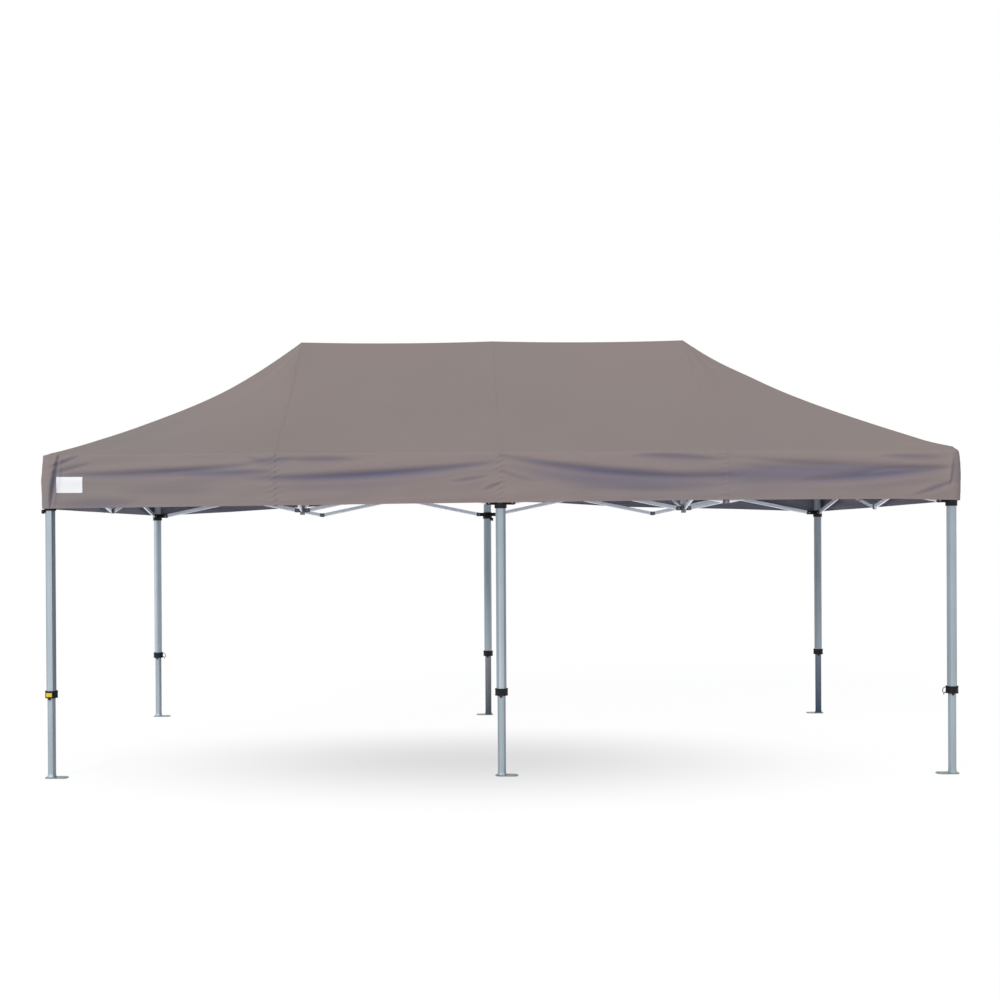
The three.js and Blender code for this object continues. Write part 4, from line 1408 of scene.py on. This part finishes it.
def studio_floor(settings):
    """A wide white floor with a soft shadow under the tent."""
    mesh = bpy.data.meshes.new("studio_floor")
    corners = [(x, y, 0) for x, y in box_outline(2 * FLOOR_REACH, 2 * FLOOR_REACH)]
    mesh.from_pydata(corners, [], [(0, 1, 2, 3)])
    material = bpy.data.materials.new("studio_floor_white")
    material.use_nodes = True
    mesh.materials.append(material)
    tree = material.node_tree
    tree.nodes.clear()
    half_length, half_depth = settings.shadow_half_length, settings.shadow_half_depth
    mapping = add_node(tree, "ShaderNodeMapping", {
        "Vector": add_node(tree, "ShaderNodeTexCoord").outputs["Object"],
        "Location": (SHADOW_OFFSET[0] / half_length, SHADOW_OFFSET[1] / half_depth, 0),
        "Scale": (1 / half_length, 1 / half_depth, 1)}, vector_type="POINT")
    distance = add_node(tree, "ShaderNodeVectorMath", {0: mapping.outputs["Vector"]}, operation="LENGTH")
    soft = add_node(tree, "ShaderNodeMapRange", {
        "Value": distance.outputs["Value"], "From Min": 0.0, "From Max": 1.0,
        "To Min": SHADOW_SHADE, "To Max": 1.0}, interpolation_type="SMOOTHSTEP")
    level = add_node(tree, "ShaderNodeMath", {0: soft.outputs["Result"], 1: 1 - FLOOR_SHARE},
                     operation="MULTIPLY")
    glow = add_node(tree, "ShaderNodeEmission", {"Color": (1, 1, 1, 1), "Strength": level.outputs["Value"]})
    matt, bounce = (add_node(tree, "ShaderNodeBsdfDiffuse", {"Color": (*colour, 1)}).outputs["BSDF"]
                    for colour in ((FLOOR_ALBEDO,) * 3, BOUNCE_COLOUR))
    seen = add_node(tree, "ShaderNodeAddShader", {0: glow.outputs["Emission"], 1: matt}).outputs["Shader"]
    add_node(tree, "ShaderNodeOutputMaterial", {"Surface": by_ray(tree, bounce, seen)})
    return add_object("studio_floor", mesh)


def build_stage():
    scene = bpy.context.scene
    settings = scene.marquee_stage
    scene.view_settings.view_transform = "Standard"
    scene.world = soft_daylight()
    floor = studio_floor(settings)

    key = bpy.data.lights.new("front_left_key", "SUN")
    key.energy = KEY_STRENGTH
    key.angle = math.radians(KEY_WIDTH)
    key.color = (1.0, 0.985, 0.965)
    lamp = add_object("front_left_key", key)
    azimuth, elevation = math.radians(KEY_AZIMUTH), math.radians(KEY_ELEVATION)
    source = Vector((-math.sin(azimuth) * math.cos(elevation), -math.cos(azimuth) * math.cos(elevation),
                     math.sin(elevation)))
    lamp.rotation_euler = (-source).to_track_quat("-Z", "Y").to_euler()

    lens = bpy.data.cameras.new("front_camera")
    lens.lens = settings.lens
    lens.sensor_width = 36
    lens.shift_x, lens.shift_y = LENS_SHIFT
    lens.clip_end = 200
    camera = add_object("front_camera", lens)
    camera.location = settings.camera_place
    camera.rotation_euler = settings.camera_turn
    scene.camera = camera


# ---------------------------------------------------------------- add-on
class MARQUEE_OT_materials(bpy.types.Operator):
    """Make the fabric, aluminium, nylon and zinc finishes"""
    bl_idname = "marquee.materials"
    bl_label = "Make Finishes"

    def execute(self, context):
        make_materials()
        return {"FINISHED"}


class MARQUEE_OT_canopy(bpy.types.Operator):
    """Build the sewn canopy: valances, roof panels, stitching and the blank patch"""
    bl_idname = "marquee.canopy"
    bl_label = "Build Canopy"

    def execute(self, context):
        build_canopy()
        return {"FINISHED"}


class MARQUEE_OT_legs(bpy.types.Operator):
    """Build the six telescopic legs with their collars, sliders and feet"""
    bl_idname = "marquee.legs"
    bl_label = "Build Legs"

    def execute(self, context):
        build_legs()
        return {"FINISHED"}


class MARQUEE_OT_truss(bpy.types.Operator):
    """Build the scissor bars, inner arms, connectors and pivots"""
    bl_idname = "marquee.truss"
    bl_label = "Build Truss"

    def execute(self, context):
        build_truss()
        return {"FINISHED"}


class MARQUEE_OT_poles(bpy.types.Operator):
    """Build the two centre poles that lift the peaks"""
    bl_idname = "marquee.poles"
    bl_label = "Build Centre Poles"

    def execute(self, context):
        build_poles()
        return {"FINISHED"}


class MARQUEE_OT_stage(bpy.types.Operator):
    """Build the white floor, daylight, key lamp and camera"""
    bl_idname = "marquee.stage"
    bl_label = "Build Stage"

    def execute(self, context):
        build_stage()
        return {"FINISHED"}


GROUPS = {
    "marquee_canopy": CanopySettings,
    "marquee_metal": MetalSettings,
    "marquee_stage": StageSettings,
}
STEPS = (MARQUEE_OT_materials, MARQUEE_OT_canopy, MARQUEE_OT_legs, MARQUEE_OT_truss, MARQUEE_OT_poles,
         MARQUEE_OT_stage)


class MARQUEE_PT_sidebar(bpy.types.Panel):
    """Lists the marquee's pieces and their sizes"""
    bl_idname = "MARQUEE_PT_sidebar"
    bl_label = "Folding Marquee"
    bl_space_type = "VIEW_3D"
    bl_region_type = "UI"
    bl_category = "Marquee"

    def draw(self, context):
        for step in STEPS:
            self.layout.operator(step.bl_idname)
        for name in GROUPS:
            settings = getattr(context.scene, name)
            for key in settings.__annotations__:
                self.layout.prop(settings, key)


def register():
    for name, group in GROUPS.items():
        bpy.utils.register_class(group)
        setattr(bpy.types.Scene, name, bpy.props.PointerProperty(type=group))
    for made in (*STEPS, MARQUEE_PT_sidebar):
        bpy.utils.register_class(made)


def unregister():
    for made in (MARQUEE_PT_sidebar, *reversed(STEPS)):
        bpy.utils.unregister_class(made)
    for name, group in reversed(GROUPS.items()):
        delattr(bpy.types.Scene, name)
        bpy.utils.unregister_class(group)


def main():
    register()
    for step in STEPS:
        group, name = step.bl_idname.split(".")
        getattr(getattr(bpy.ops, group), name)()


if __name__ == "__main__":
    main()
